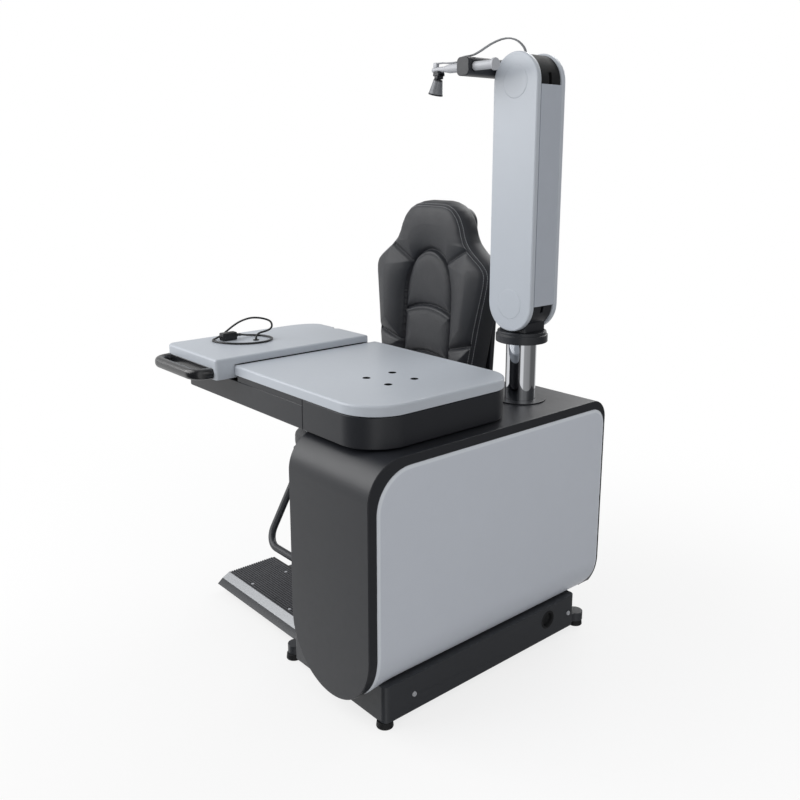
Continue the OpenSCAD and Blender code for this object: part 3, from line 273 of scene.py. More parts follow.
def painted_rim_highlight(material, hex_colour):
    """Painted highlight: a paler colour where the piece's rim attribute goes to 1, on a moulding's
    rounded rim, standing in for the light that the rim catches.
    """
    rim = add(material.node_tree, "Attribute", {"attribute_name": "rim"})
    return repaint(material, hex_colour, rim.outputs["Fac"])


def painted_groove_shade(material, hex_colour, floor_mm, crown_mm):
    """Painted shade in a ribbed piece's grooves: another, darker colour, none at crown_mm above the
    floor, full at floor_mm."""
    tree = material.node_tree
    coords = add(tree, "TexCoord")
    apart = add(tree, "SeparateXYZ", links={0: coords.outputs["Object"]})
    # Painted shade: 1 at the groove floor, 0 at the crowns.
    depth = add(tree, "MapRange", {1: floor_mm / 1000, 2: crown_mm / 1000, 3: 1.0, 4: 0.0},
                {0: apart.outputs[2]})
    return repaint(material, hex_colour, depth)


FINISHES = {
    # Injection-moulded, satin: broad soft highlights, almost no grain.
    "grey_abs": finish("moulded light grey ABS", "#B9BFC7", 0.33, shade=0.015, grain_mm=(1.6, 0.02),
                       rough_spread=0.05),
    # The same, painted lighter for dim light on the sides, with a painted highlight: a paler rim.
    "panel_abs": painted_rim_highlight(
        finish("panel in light grey ABS with a painted rim highlight", "#CACFD8", 0.33, shade=0.02,
               grain_mm=(1.6, 0.02), rough_spread=0.05), "#D9DEE5"),
    # The same in black, spark-eroded: fine texture and a soft satin sheen.
    "black_abs": finish("textured black ABS", "#222429", 0.40, shade=0.05, grain_mm=(1.2, 0.04),
                        rough_spread=0.04),
    # Powder coat on steel: slight orange peel.
    "powder": finish("black powder coat", "#35373B", 0.36, shade=0.05, grain_mm=(2.0, 0.04),
                     rough_spread=0.08, specular=0.4),
    # A grip moulded over and polished by hands: a bright line along its crown.
    "grip": finish("glossy black grip moulding", "#15161A", 0.3, shade=0.05, rough_spread=0.05,
                   coat=0.4),
    # A mirror that takes its look from the studio.
    "chrome": finish("polished chromium plate", "#C9CBCF", 0.05, metallic=1.0, shade=0.02,
                     rough_spread=0.02),
    # Turned, bead-blasted and clear-anodised: matt, with faint rings 0.8 mm apart.
    "turned": finish("turned anodised aluminium", "#B9BBC0", 0.5, metallic=0.12, shade=0.05,
                     mottle_mm=8, rough_spread=0.1, lay=(10, 0.6, 0.6)),
    # Brushed and anodised extrusion: the lines run along the strip.
    "brushed": finish("brushed anodised aluminium", "#A3A5A8", 0.42, metallic=1.0, mottle_mm=30,
                      rough_spread=0.1, lay=(0.3, 14, 14)),
    # Die-cast body of the lamp.
    "lamp_grey": finish("grey anodised lamp casting", "#7A7C80", 0.48, metallic=0.3, shade=0.16,
                        mottle_mm=7),
    # Rolled aluminium strip, painted silver grey and satin.
    "spine": finish("satin silver-grey strip", "#B9BFC9", 0.36, metallic=0.15, shade=0.03),
    # Upholstery leather, embossed grain: cells of about 1.3 mm, drawn at 2.2 mm to show.
    "leather": finish("grained charcoal leather", "#25272C", 0.43, shade=0.14, mottle_mm=90,
                      grain_mm=(2.2, 0.18), rough_spread=0.14, cells=True),
    # Spun polyester thread.
    "thread": finish("light grey bonded thread", "#A9ABAF", 0.6, shade=0.1, mottle_mm=8,
                     grain_mm=(0.6, 0.1)),
    # Matt: feet, cups, grommets, and the strip of painted shadow along the step.
    "rubber": finish("moulded black rubber", "#18191B", 0.62, shade=0.12, mottle_mm=40,
                     grain_mm=(1.5, 0.06), rough_spread=0.12, specular=0.35),
    # Colour that drifts over 25 mm, with painted shade in the grooves that leaves the crowns paler.
    "tread": painted_groove_shade(
        finish("ribbed rubber mat with painted groove shade", "#46474C", 0.55, shade=0.2, mottle_mm=25,
               grain_mm=(1.5, 0.08), rough_spread=0.12), "#141517", 57.6, 59.7),
    # The lead's soft sheath, and the conduit of the lamp's cable.
    "sheath": finish("black PVC sheath", "#151618", 0.36, shade=0.08, mottle_mm=20),
    "grey_sheath": finish("grey metal conduit", "#9A9CA0", 0.36, metallic=0.5, shade=0.08,
                          mottle_mm=20),
    # The chassis, the brackets and the inner link.
    "steel": finish("grey painted steel", "#4A4C50", 0.5, shade=0.08, grain_mm=(2.0, 0.04)),
    # Frosted lens: pale, half clear.
    "lens": finish("frosted lens", "#D9DEE2", 0.22, shade=0.03, coat=0.4),
}


# -------- shared making


def new_piece(name, mesh, material, like, *stands_for):
    """Links a mesh as a piece of the object, with a finish and the body of the node it is like."""
    piece = new_object(name, mesh)
    mesh.materials.clear()
    mesh.materials.append(FINISHES[material])
    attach(piece, frame["nodes"][like]["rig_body"])
    if stands_for:
        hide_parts(*stands_for)
    return piece


SHARP = math.radians(32)  # edges that turn by more than this are rounded
FLAT = math.radians(0.4)  # faces that turn by less than this become one
MERGE, SLIVER = 2e-5, 1e-6  # closer corners become one, and shorter edges go


def rounded_node(node, width_mm, material, segments=2, share=None):
    """A copy of a node's solid, merged, with its flat faces made whole and its sharp edges rounded.
    share, where given, turns the middles of the edges, in mm, to shares of that rounding."""
    mesh = frame["nodes"][node].data.copy()
    mesh.name = node + "_rounded"
    work = bmesh.new()
    work.from_mesh(mesh)
    bmesh.ops.remove_doubles(work, verts=work.verts, dist=MERGE)
    bmesh.ops.dissolve_degenerate(work, dist=SLIVER, edges=work.edges)
    bmesh.ops.recalc_face_normals(work, faces=work.faces)
    bmesh.ops.dissolve_limit(work, angle_limit=FLAT, verts=work.verts, edges=work.edges)
    work.to_mesh(mesh)
    work.free()
    if "custom_normal" in mesh.attributes:
        mesh.attributes.remove(mesh.attributes["custom_normal"])
    mesh.shade_smooth()
    mesh.set_sharp_from_angle(angle=SHARP)
    piece = new_piece(node + "_rounded", mesh, material, node, node)
    if width_mm:
        bevel = piece.modifiers.new("edge", "BEVEL")
        bevel.width = width_mm / 1000
        bevel.segments = segments
        bevel.limit_method = "ANGLE"
        bevel.angle_limit = SHARP
        bevel.use_clamp_overlap = False
        bevel.harden_normals = True
        if share:
            bevel.limit_method = "WEIGHT"
            set_edge_shares(mesh, share)
    return piece


def set_edge_shares(mesh, share):
    """Writes the bevel weight of every sharp edge: share of its middle, in mm of the drawing."""
    places = np.empty(len(mesh.vertices) * 3)
    mesh.vertices.foreach_get("co", places)
    ends = np.empty(len(mesh.edges) * 2, int)
    mesh.edges.foreach_get("vertices", ends)
    sharp = np.zeros(len(mesh.edges), bool)
    mesh.attributes["sharp_edge"].data.foreach_get("value", sharp)
    middles = (places.reshape(-1, 3)[ends.reshape(-1, 2)].mean(1) + MIDDLE) * 1000
    weights = mesh.attributes.new("bevel_weight_edge", "FLOAT", "EDGE")
    weights.data.foreach_set("value", np.where(sharp, share(*middles.T), 0.0).astype(np.float32))


def close_ends(mesh):
    """Fills the open rims of a tube and turns all faces outwards."""
    work = bmesh.new()
    work.from_mesh(mesh)
    bmesh.ops.holes_fill(work, edges=[e for e in work.edges if e.is_boundary], sides=0)
    bmesh.ops.recalc_face_normals(work, faces=work.faces)
    work.to_mesh(mesh)
    work.free()
    return mesh


def ring_piece(name, points, material, like, *stands_for, sharp=180):
    """A piece of quads over closed rings of places, points[ring, place], with both ends filled. It
    is smooth, apart from edges that turn by more than sharp degrees."""
    rows, columns = points.shape[:2]
    index = np.arange(rows * columns).reshape(rows, columns)
    index = np.hstack([index, index[:, :1]])
    quads = np.stack([index[:-1, :-1], index[1:, :-1], index[1:, 1:], index[:-1, 1:]], -1)
    mesh = bpy.data.meshes.new(name)
    mesh.from_pydata(points.reshape(-1, 3).tolist(), [], quads.reshape(-1, 4).tolist())
    mesh.shade_smooth()
    close_ends(mesh)
    if sharp < 180:
        mesh.set_sharp_from_angle(angle=math.radians(sharp))
    return new_piece(name, mesh, material, like, *stands_for)


def soft_step(value, low, high):
    """0 below low, 1 above high, and a smooth cubic between them."""
    share = np.clip((value - low) / (high - low), 0, 1)
    return share * share * (3 - 2 * share)


def unit(vectors):
    """The vectors at length 1."""
    return vectors / np.linalg.norm(vectors, axis=-1, keepdims=True)


def squircle(turn, power):
    """A rounded square of half width 1: the cosine and the sine of turn, each with its size raised
    to a power. It is |x| ^ n + |y| ^ n = 1 where n is 2 / power."""
    return [np.sign(f(turn)) * np.abs(f(turn)) ** power for f in (np.cos, np.sin)]


def smooth_path(points, steps):
    """A Catmull-Rom curve through the points, with steps pieces between neighbours."""
    p = np.vstack([points[:1], points, points[-1:]])
    t = np.linspace(0, 1, steps, endpoint=False)[None, :, None]
    a, b, c, d = (p[i:len(p) - 3 + i, None, :] for i in range(4))
    curve = 0.5 * (2 * b + (c - a) * t + (2 * a - 5 * b + 4 * c - d) * t ** 2
                   + (3 * b - a - 3 * c + d) * t ** 3)
    return np.vstack([curve.reshape(-1, 3), points[-1:]])


# Directions that no path, axis or seam here takes, to lay rings and threads square to them.
TUBE_ASKEW, AXIS_ASKEW, SEAM_ASKEW = [0.69, -0.15, 0.71], [0.36, 0.48, 0.8], [0.31, 0.17, 0.93]
TUBE_SIDES, TURNED_SIDES = 14, 72


def tube_points(path, radius):
    """Rings of a tube with one radius, or one for each ring, that stand square to its path."""
    ahead = unit(np.gradient(path, axis=0))
    first = unit(np.cross(ahead, TUBE_ASKEW))
    second = np.cross(ahead, first)
    turn = full_turn(TUBE_SIDES)[None, :, None]
    radius = np.broadcast_to(np.asarray(radius, float), (len(path),))[:, None, None]
    around = np.cos(turn) * first[:, None] + np.sin(turn) * second[:, None]
    return path[:, None] + radius * around


def turned_piece(name, profile, centre, axis, material, like, *stands_for):
    """A piece of revolution: its profile, radii and heights in mm, carried round an axis."""
    axis = np.array(axis, float)
    side = unit(np.cross(axis, AXIS_ASKEW))
    turn = full_turn(TURNED_SIDES)[:, None]
    ring = np.cos(turn) * side + np.sin(turn) * np.cross(axis, side)
    radius, height = (np.array(profile, float) / 1000).T
    points = centre + radius[:, None, None] * ring + height[:, None, None] * axis
    ring_piece(name, points, material, like, *stands_for, sharp=40)


STITCH, STITCH_GAP, THREAD_RADIUS, THREAD_SIDES = 0.0062, 0.0022, 0.0007, 6


def stitches(name, path, like):
    """Thread along a path: six-sided stitches, full between a fifth and four fifths of their
    length and thin at both ends, laid nose to tail."""
    step = np.linalg.norm(np.diff(path, axis=0), axis=1)
    run = np.concatenate([[0], np.cumsum(step)])
    starts = np.arange(STITCH_GAP, run[-1] - STITCH, STITCH + STITCH_GAP)
    a, b = (np.stack([np.interp(s, run, path[:, k]) for k in range(3)], -1)
            for s in (starts, starts + STITCH))
    ahead = unit(b - a)
    side = unit(np.cross(ahead, SEAM_ASKEW))
    other = np.cross(ahead, side)
    spokes = [math.cos(q) * side + math.sin(q) * other for q in full_turn(THREAD_SIDES)]
    shape = [(a, THREAD_RADIUS * 0.35), (a + (b - a) * 0.2, THREAD_RADIUS),
             (a + (b - a) * 0.8, THREAD_RADIUS), (b, THREAD_RADIUS * 0.35)]
    rings = np.stack([np.stack([centre + radius * spoke for spoke in spokes], 1)
                      for centre, radius in shape], 1)
    index = np.arange(rings[..., 0].size).reshape(rings.shape[:3])
    around = np.concatenate([index, index[:, :, :1]], 2)
    quads = np.stack([around[:, :-1, :-1], around[:, :-1, 1:], around[:, 1:, 1:],
                      around[:, 1:, :-1]], -1).reshape(-1, 4)
    caps = index[:, 0, ::-1].tolist() + index[:, -1].tolist()
    mesh = bpy.data.meshes.new(name)
    mesh.from_pydata(rings.reshape(-1, 3).tolist(), [], quads.tolist() + caps)
    mesh.shade_smooth()
    new_piece(name, close_ends(mesh), "thread", like)


# -------- the lead on the raised top


CORD_EXIT = drawing(-836, 150, 904)
# The lead's course from its exit, in mm of the drawing.
CORD_POINTS = np.array([
    [0, 0, 0], [0, 0, 5.5], [0.4, 1.9, 13.4], [1.6, 7, 19.9], [4, 14.8, 24], [8.5, 28, 27],
    [13.5, 41, 31.5], [16.5, 49.5, 39], [15.5, 52, 49], [9, 50, 58.5], [-3, 40, 65],
    [-20, 23, 69], [-38, 3, 68], [-58, -20, 58], [-75, -40, 42], [-87, -58, 25], [-92, -76, 12],
    [-91, -96, 5], [-82, -112, 3.4], [-64, -121, 3.4], [-38, -119, 3.3], [-10, -108, 3.3],
    [18, -88, 3.3], [40, -60, 3.3], [52, -26, 3.3], [50, 8, 3.3], [34, 38, 3.3], [8, 54, 3.3],
    [-22, 54, 3.3], [-48, 44, 3.3], [-64, 26, 4], [-69, 6, 6], [-66, -12, 10], [-61, -28, 13],
    [-60, -42, 13]]) / 1000
LEAD_RADIUS = 0.00325


def make_lead():
    """The lead, its plug and its grommet, where the drawing lays them, with a ridged strain relief
    over its last part."""
    path = smooth_path(CORD_POINTS + CORD_EXIT, 6)
    lead = ring_piece("lead", tube_points(path, LEAD_RADIUS), "sheath", "cord_lead", "cord_lead")
    plug = rounded_node("cord_plug", 2.5, "sheath", 3)
    grommet = rounded_node("cord_grommet", 0.8, "sheath")
    tail = smooth_path(CORD_POINTS[-4:] + CORD_EXIT, 8)[-14:]
    ridges = (0.0042 + 0.0016 * np.linspace(0, 1, len(tail))
              + 0.0004 * np.sign(np.sin(np.arange(len(tail)) * 1.6)))
    relief = ring_piece("lead_relief", tube_points(tail, ridges), "sheath", "cord_lead")


# -------- rigid pieces


# Places in mm of the drawing: the instrument holes, the heights of the arm's two pivots, and the
# console's middle, the height where its sides bend in and the radius of that bend.
HOLES = [(-233 + a * 48, 218 + b * 48) for a in (-1, 1) for b in (-1, 1)]
PIVOTS = (1061, 1698)
CONSOLE_MIDDLE, CONSOLE_BEND, SKIN = -147, 228, 176
# The side panels: limits, radii of the corners, and the skirt's foot, length, height and course.
PANEL_FRONT, PANEL_BACK, PANEL_TOP, PANEL_THICK = -45, 872, 730, 5.9
CORNER_FRONT, CORNER_REAR, CORNER_LOW = 113, 54, 48
SKIRT_FOOT, SKIRT_LONG, SKIRT_HIGH = 80, 80, 48
SKIRT = np.array([[0, 0], [0.06, 0.25], [0.17, 0.5], [0.38, 0.78], [0.6, 0.92], [0.85, 0.985],
                  [1, 1]])
# Width and depth of a panel's rim, and the depth and reach of the faint fall inside it.
RIM_WIDE, RIM_DEEP, FALL_DEEP, FALL_REACH = 11.0, 4.6, 0.5, 30
# How far from a panel's edges its rows and columns stand.
RIM_STEPS = np.array([0, 0.15, 0.5, 1.1, 1.9, 3, 4.4, 6, 7.8, 9.6, 11.4, 14, 18, 24, 32, 44])
INSIDE = 60  # where the even rows and columns between them start


def corner_rise(reach, radius):
    """How far a round corner rises, reach mm from the wall that it starts at."""
    return radius - np.sqrt(np.clip(radius ** 2 - np.clip(radius - reach, 0, None) ** 2, 0, None))


def panel_limits(y):
    """The lowest and highest place of a side panel at each y: the skirt's curve and one round
    corner below, two round corners above."""
    skirt = np.interp((y - PANEL_FRONT) / SKIRT_LONG, SKIRT[:, 0],
                      SKIRT_FOOT + SKIRT_HIGH * SKIRT[:, 1])
    return (skirt + corner_rise(PANEL_BACK - y, CORNER_LOW),
            PANEL_TOP - corner_rise(y - PANEL_FRONT, CORNER_FRONT)
            - corner_rise(PANEL_BACK - y, CORNER_REAR))


def panel_edge(y, z):
    """Distance in mm from places on a side panel to its outline, taken as a dense row of points."""
    ease = 0.5 - 0.5 * np.cos(np.linspace(0, math.pi, 420))
    along = PANEL_FRONT + (PANEL_BACK - PANEL_FRONT) * ease
    low, high = panel_limits(along)
    rise = np.linspace(0, 1, 180)
    line_y = np.concatenate([along, along, 0 * rise + PANEL_FRONT, 0 * rise + PANEL_BACK])
    line_z = np.concatenate([low, high, low[0] + rise * (high[0] - low[0]),
                             low[-1] + rise * (high[-1] - low[-1])])
    line = np.stack([line_y, line_z]).astype(np.float32)[:, :, None, None]
    return np.sqrt(((y - line[0]) ** 2 + (z - line[1]) ** 2).min(0))


def make_panel(node, side):
    """A side panel: columns from front to back, each up its face and down behind. The face lies on
    the console's U section, and its rim falls away as a quarter of an ellipse."""
    y = np.concatenate([PANEL_FRONT + RIM_STEPS,
                        np.linspace(PANEL_FRONT + INSIDE, PANEL_BACK - INSIDE, 90),
                        PANEL_BACK - RIM_STEPS[::-1]])
    low, high = panel_limits(y)
    middle = (np.linspace(0, 1, 50)[None, :] * (high - low - 2 * INSIDE)[:, None]
              + low[:, None] + INSIDE)
    z = np.concatenate([low[:, None] + RIM_STEPS, middle, high[:, None] - RIM_STEPS[::-1]], 1)
    edge = panel_edge(y[:, None].astype(np.float32), z.astype(np.float32))
    inward = np.clip(1 - edge / RIM_WIDE, 0, 1)
    drop = RIM_DEEP * (1 - np.sqrt(1 - inward ** 2)) + FALL_DEEP * np.exp(-edge / FALL_REACH)
    behind = z[:, ::-6]
    z_ring = np.concatenate([z, behind], 1)
    drop = np.concatenate([drop, np.full_like(behind, PANEL_THICK)], 1)
    slope = np.arcsin(np.clip(CONSOLE_BEND - z_ring, 0, None) / SKIN)
    x = CONSOLE_MIDDLE + side * (SKIN - drop) * np.cos(slope)
    up = np.where(z_ring < CONSOLE_BEND, CONSOLE_BEND - (SKIN - drop) * np.sin(slope), z_ring)
    panel = ring_piece(node + "_pillow", drawing(x, y[:, None], up), "panel_abs", node, node,
                       sharp=50)
    # Painted highlight: 1 on the rim, fading out within 3 mm inside it, and 1 behind.
    pale = np.concatenate([1 - soft_step(edge, RIM_WIDE - 3, RIM_WIDE), np.ones_like(behind)], 1)
    rim = panel.data.attributes.new("rim", "FLOAT", "POINT")
    rim.data.foreach_set("value", pale.astype(np.float32).ravel())


def slab_shares(x, y, z):
    """Full rounding round the top of the slab, a little below, and next to none round the holes."""
    hole = np.min([np.hypot(x - a, y - b) for a, b in HOLES], 0)
    return np.where(hole < 16, 0.05, np.where(z > 865, 1.0, 0.3))


def shell_shares(x, y, z):
    """Full rounding on the console's shell, none at its low rear corners, where the skirt ends."""
    return np.where((z < 140) & (y > 850), 0.0, 1.0)


def cheek_shares(x, y, z):
    """Full rounding round an arm cheek, next to none on the seats of its pivot covers."""
    seat = np.min([np.hypot(x - CONSOLE_MIDDLE, z - level) for level in PIVOTS], 0)
    return np.where(seat < 50, 0.04, 1.0)


# Nodes to round: edge radius in mm, finish, and steps of the rounding where they aren't 2.
ROUNDED = [
    ("leveling_feet", 2, "rubber"), ("base_frame", 1.2, "powder"), ("frame_bolts", 0.5, "turned"),
    ("chair_base_plate", 1.5, "powder"), ("console_shell", 2.5, "black_abs", 3),
    ("inner_frame", 0, "steel"), ("power_box", 2, "steel"), ("table_lift_guide", 0, "steel"),
    ("column_flange", 1.2, "black_abs"), ("column_tube", 0, "chrome"),
    ("chair_column_outer", 1.5, "powder"), ("footrest_plate", 0.8, "powder"),
    ("footrest_trim", 0.4, "brushed"), ("footrest_tread", 0.7, "tread"),
    ("footrest_screws", 0.4, "turned"), ("table_lift_tube", 0, "chrome"),
    ("table_lift_pad", 0.8, "powder"), ("table_housing", 3, "black_abs", 3),
    ("table_arm", 3, "black_abs", 3), ("table_rails", 0.5, "black_abs", 1),
    ("table_top", 7, "grey_abs", 5), ("swivel_collar", 2.4, "black_abs", 3),
    ("arm_yoke", 1.5, "black_abs"), ("lower_pivot_pin", 0.5, "turned"),
    ("arm_cheek_front", 5, "grey_abs", 5), ("arm_cheek_rear", 5, "grey_abs", 5),
    ("arm_spine_outer", 0.6, "spine"), ("arm_spine_inner", 0.6, "spine"),
    ("upper_pivot_pin", 0.5, "turned"), ("leveling_link", 0.8, "steel"),
    ("head_block", 1.5, "rubber"), ("cross_bar", 2.5, "black_abs", 3),
    ("support_rod", 0.8, "turned"), ("lamp_cable", 0, "grey_sheath"),
    ("clamp_knob", 1.2, "turned", 3), ("lamp_neck", 0.5, "black_abs"),
    ("lamp_shell", 0.8, "lamp_grey"), ("lamp_bezel", 0.6, "black_abs"), ("lamp_lens", 0.5, "lens"),
    ("chair_column_inner", 0, "chrome"), ("seat_pan", 4, "black_abs", 3),
    ("foot_hoop", 1, "powder"), ("recline_brackets", 1, "steel"), ("back_frame", 1.5, "steel"),
    ("back_shell", 6, "black_abs", 4),
]
EDGE_SHARES = {"console_shell": shell_shares, "table_top": slab_shares,
               "arm_cheek_front": cheek_shares, "arm_cheek_rear": cheek_shares}

# The raised slab, in mm of the drawing, with the notch in its rear edge.
RAISED_LEFT, RAISED_RIGHT, RAISED_FRONT, RAISED_REAR = -986, -662, -96, 481
RAISED_SKIRT, RAISED_TOP, RAISED_WALL, RAISED_EDGE = 841, 904, 14, 7
# Half axes (x, y) of the raised slab's corners: front right, rear right, rear left and front left.
RAISED_CORNERS = [(9, 9), (5, 5), (62, 116), (30, 30)]
NOTCH_X, NOTCH_HALF, NOTCH_DEEP = -836, 13, 9


def raised_plan(inset, notch):
    """The raised slab's plan, drawn in by inset: four quarters of an ellipse joined by straight
    edges, anticlockwise from front right. notch draws the rear edge in by a soft stadium."""
    signs = [(1, -1), (1, 1), (-1, 1), (-1, -1)]
    walls = {1: (RAISED_RIGHT, RAISED_REAR), -1: (RAISED_LEFT, RAISED_FRONT)}
    arcs = []
    for (sx, sy), (a, b) in zip(signs, RAISED_CORNERS):
        a, b = max(a, inset + 0.4), max(b, inset + 0.4)
        turn = math.atan2(sy, sx) - math.pi / 4 + np.linspace(0, math.pi / 2, 25)
        arcs.append(np.stack([walls[sx][0] - sx * a + (a - inset) * np.cos(turn),
                              walls[sy][1] - sy * b + (b - inset) * np.sin(turn)], 1))
    line = []
    for arc, after in zip(arcs, arcs[1:] + arcs[:1]):
        steps = np.linspace(0, 1, 62)[1:-1, None]
        line += [arc, arc[-1] + steps * (after[0] - arc[-1])]
    plan = np.concatenate(line)
    dip = 1 - soft_step(np.abs(plan[:, 0] - NOTCH_X), NOTCH_HALF - 3, NOTCH_HALF + 3)
    plan[:, 1] -= notch * dip * (plan[:, 1] > RAISED_REAR - inset - 1)
    return plan


def make_raised_top():
    """The raised slab: rings of its plan from the middle of its underside out, down the inner wall,
    round the skirt's foot, up the outer wall, over an edge of 7 mm and in over the top."""
    roof = RAISED_TOP - RAISED_WALL
    # Each ring: how far it is drawn in, its height, and 1 where the notch cuts it.
    rings = [(RAISED_WALL + 2, roof, 0), (RAISED_WALL, roof, 0),
             (RAISED_WALL, RAISED_SKIRT + 1, 0), (RAISED_WALL - 0.4, RAISED_SKIRT, 0),
             (1.2, RAISED_SKIRT, 1), (0.35, RAISED_SKIRT + 0.35, 1), (0, RAISED_SKIRT + 1.2, 1),
             (0, RAISED_SKIRT + 20, 1)]
    rings += [(RAISED_EDGE * (1 - math.cos(q)), RAISED_TOP - RAISED_EDGE * (1 - math.sin(q)), 1)
              for q in np.linspace(0, math.pi / 2, 9)]
    rings += [(9.5, RAISED_TOP, 1), (16, RAISED_TOP, 1)]
    points = np.array([drawing(*raised_plan(inset, NOTCH_DEEP * notched).T, z)
                       for inset, z, notched in rings])
    ring_piece("raised_slab", points, "grey_abs", "raised_top", "raised_top", sharp=50)


def rounded_block(name, centre, half, soft, material, like, *stands_for):
    """A block moulded with soft edges: level rings |x / a| ^ 5 + |y / b| ^ 5 = 1 that draw in by
    soft at top and bottom along a quarter of a circle. half holds half its sides, both in mm."""
    plan = np.stack(squircle(full_turn(64), 0.4), 1)
    steep = np.linspace(-math.pi / 2, math.pi / 2, 16)
    draw = soft * (1 - np.cos(steep))
    rise = np.sign(steep) * (half[2] - soft) + soft * np.sin(steep)
    reach = np.stack([half[0] - draw, half[1] - draw], 1)
    level = np.repeat(rise[:, None, None], len(plan), 1)
    points = np.concatenate([plan * reach[:, None], level], 2)
    ring_piece(name, points / 1000 + centre, material, like, *stands_for, sharp=60)


# The grip of the table, in mm of the drawing: the D that its middle line draws, its height, half
# its width and height, and how much wider it is at its ends.
GRIP_LEFT, GRIP_RIGHT, GRIP_FRONT, GRIP_WALL, GRIP_RADIUS = -957, -691, -148, -94, 40
GRIP_LEVEL, GRIP_WIDE, GRIP_HIGH, GRIP_SWELL = 859.5, 15, 16.4, 1.5


def make_handle():
    """The grip of the table: an oval section carried round a D, level, with its two ends in the
    slab. The section is |u / half width| ^ 2.4 + |v / half height| ^ 2.4 = 1 and swells at the
    ends. A plate covers the slab between them."""
    turn, radius = np.linspace(0, math.pi / 2, 14), GRIP_RADIUS
    bend_a = np.stack([GRIP_LEFT + radius - radius * np.cos(turn),
                       GRIP_FRONT + radius - radius * np.sin(turn)], 1)
    bend_b = np.stack([GRIP_RIGHT - radius + radius * np.sin(turn),
                       GRIP_FRONT + radius - radius * np.cos(turn)], 1)
    leg = np.linspace(GRIP_WALL, GRIP_FRONT + radius, 14)[:-1]
    bar = np.linspace(GRIP_LEFT + radius, GRIP_RIGHT - radius, 60)[1:-1]
    plan = np.concatenate([np.stack([0 * leg + GRIP_LEFT, leg], 1), bend_a,
                           np.stack([bar, 0 * bar + GRIP_FRONT], 1), bend_b,
                           np.stack([0 * leg + GRIP_RIGHT, leg[::-1]], 1)])
    ahead = unit(np.gradient(plan, axis=0))
    swell = soft_step(plan[:, 1], GRIP_FRONT + 12, GRIP_WALL)
    across, rise = squircle(full_turn(40), 2 / 2.4)
    half = (GRIP_WIDE + GRIP_SWELL * swell)[:, None] * across
    x = plan[:, :1] + ahead[:, 1:] * half
    y = plan[:, 1:] - ahead[:, :1] * half
    ring_piece("table_grip", drawing(x, y, GRIP_LEVEL + GRIP_HIGH * rise), "grip",
               "table_handle", "table_handle")
    rounded_block("grip_plate", drawing(-824, -97.4, GRIP_LEVEL), (146, 1.5, 15.5), 1.2, "grip",
                  "table_handle")


LAMP_PIN = np.array([0.0975, 0.176, 1.723])  # the lamp's pivot, in the model's frame
LAMP_LEAN = math.radians(15)  # of its axis at rest


def make_lamp_mount():
    """Round the lamp's pivot: the block under the rod's tip with two cheeks and two ears, the
    cable's gland, and the dark collar on the lamp's neck."""
    look = "black_abs", "lamp_bracket"
    block = LAMP_PIN + [0, 0, 0.0112]
    rounded_block("lamp_block", block, (13, 13.5, 3.4), 1.5, *look, "lamp_bracket")
    for row, side in enumerate((-1, 1)):
        rounded_block("lamp_cheek_%d" % row, LAMP_PIN + [0, side * 0.0102, 0.0051],
                      (12.2, 3.3, 4.3), 1.5, *look)
        rounded_block("lamp_ear_%d" % row, LAMP_PIN + [0, side * 0.0096, -0.0005],
                      (7.2, 2.8, 7), 2.0, *look)
    rounded_block("cable_gland", LAMP_PIN + [-0.012, 0, 0.0325], (8, 6.5, 7.5), 2.5, "turned",
                  "support_rod")
    axis = np.array([math.sin(LAMP_LEAN), 0, math.cos(LAMP_LEAN)])
    collar = [(0.01, -13), (13.2, -13), (14.1, -12.4), (13.6, -9.2), (12.8, -8.5), (0.01, -8.5)]
    turned_piece("lamp_collar", collar, LAMP_PIN, axis, "black_abs", "lamp_neck")


def make_trim():
    """Small moulded parts: rubber cups in the instrument holes, the cable hole's grommet, whose
    black closed cup also stands in for the shade inside the hole, a black strip under the raised
    slab's edge, painted shadow that draws the dark line along the step, and the smooth covers of
    the arm's pivots."""
    cup = [(0.01, -14), (10.1, -14), (10.15, -0.6), (10.4, 0.15), (11.0, 0.35), (11.7, 0.2),
           (11.9, -0.1), (10.45, -0.3), (10.45, -15.5), (0.01, -15.5)]
    for row, (x, y) in enumerate(HOLES):
        turned_piece("hole_cup_%d" % row, cup, drawing(x, y, 880), (0, 0, 1), "rubber",
                     "table_rails")
    # A rubber grommet, a cup closed 12 mm in: partly a real part, partly painted shade, as its
    # black stands in for the shade inside the hole.
    plug = [(0.01, -12), (19, -12), (20.5, -11.2), (21.6, -1), (23, 1.4), (25.5, 2.0), (28, 1.5),
            (29.2, 0.1), (25.8, -0.1), (25.6, -14), (0.01, -14)]
    turned_piece("cable_grommet", plug, drawing(21, 643.5, 81.6), (1, 0, 0), "rubber", "base_frame")
    # Painted shadow: a thin black strip where the raised slab meets the lower one, standing in for
    # the shadow in that gap.
    line = np.stack([drawing(-661.5, y, 880.4) for y in (-33, 476)])
    path = line[0] + np.linspace(0, 1, 24)[:, None] * (line[1] - line[0])
    radius = 0.0021 * np.sqrt(1 - np.abs(np.linspace(-0.995, 0.995, 24)) ** 24)
    ring_piece("step_shadow_strip", tube_points(path, radius), "rubber", "table_rails")
    cover = [(0.01, 0.4), (36, 0.4), (42.6, 0.38), (43.9, 0.3), (44.7, 0.05), (44.95, -0.5),
             (44.95, -1.9), (0.01, -1.9)]
    for row, (z, side) in enumerate((z, side) for z in PIVOTS for side in (-1, 1)):
        face = drawing(CONSOLE_MIDDLE, 672 + side * 61.5, z)
        turned_piece("pivot_cover_%d" % row, cover, face, (0, side, 0), "grey_abs", "pivot_caps",
                     *(["pivot_caps"] if row == 0 else []))


# -------- the padded back


BACK_LEAN = math.radians(3.5)
BACK_PIVOT = (-655, 745, 520)  # in mm of the drawing; the places below count from it
# The rear plane, the thickness, the lower and upper edge, and half the width at the shoulders.
BACK_REAR, BACK_THICK, BACK_LOW, BACK_HIGH, BACK_HALF = 30, 66, 66, 826, 295
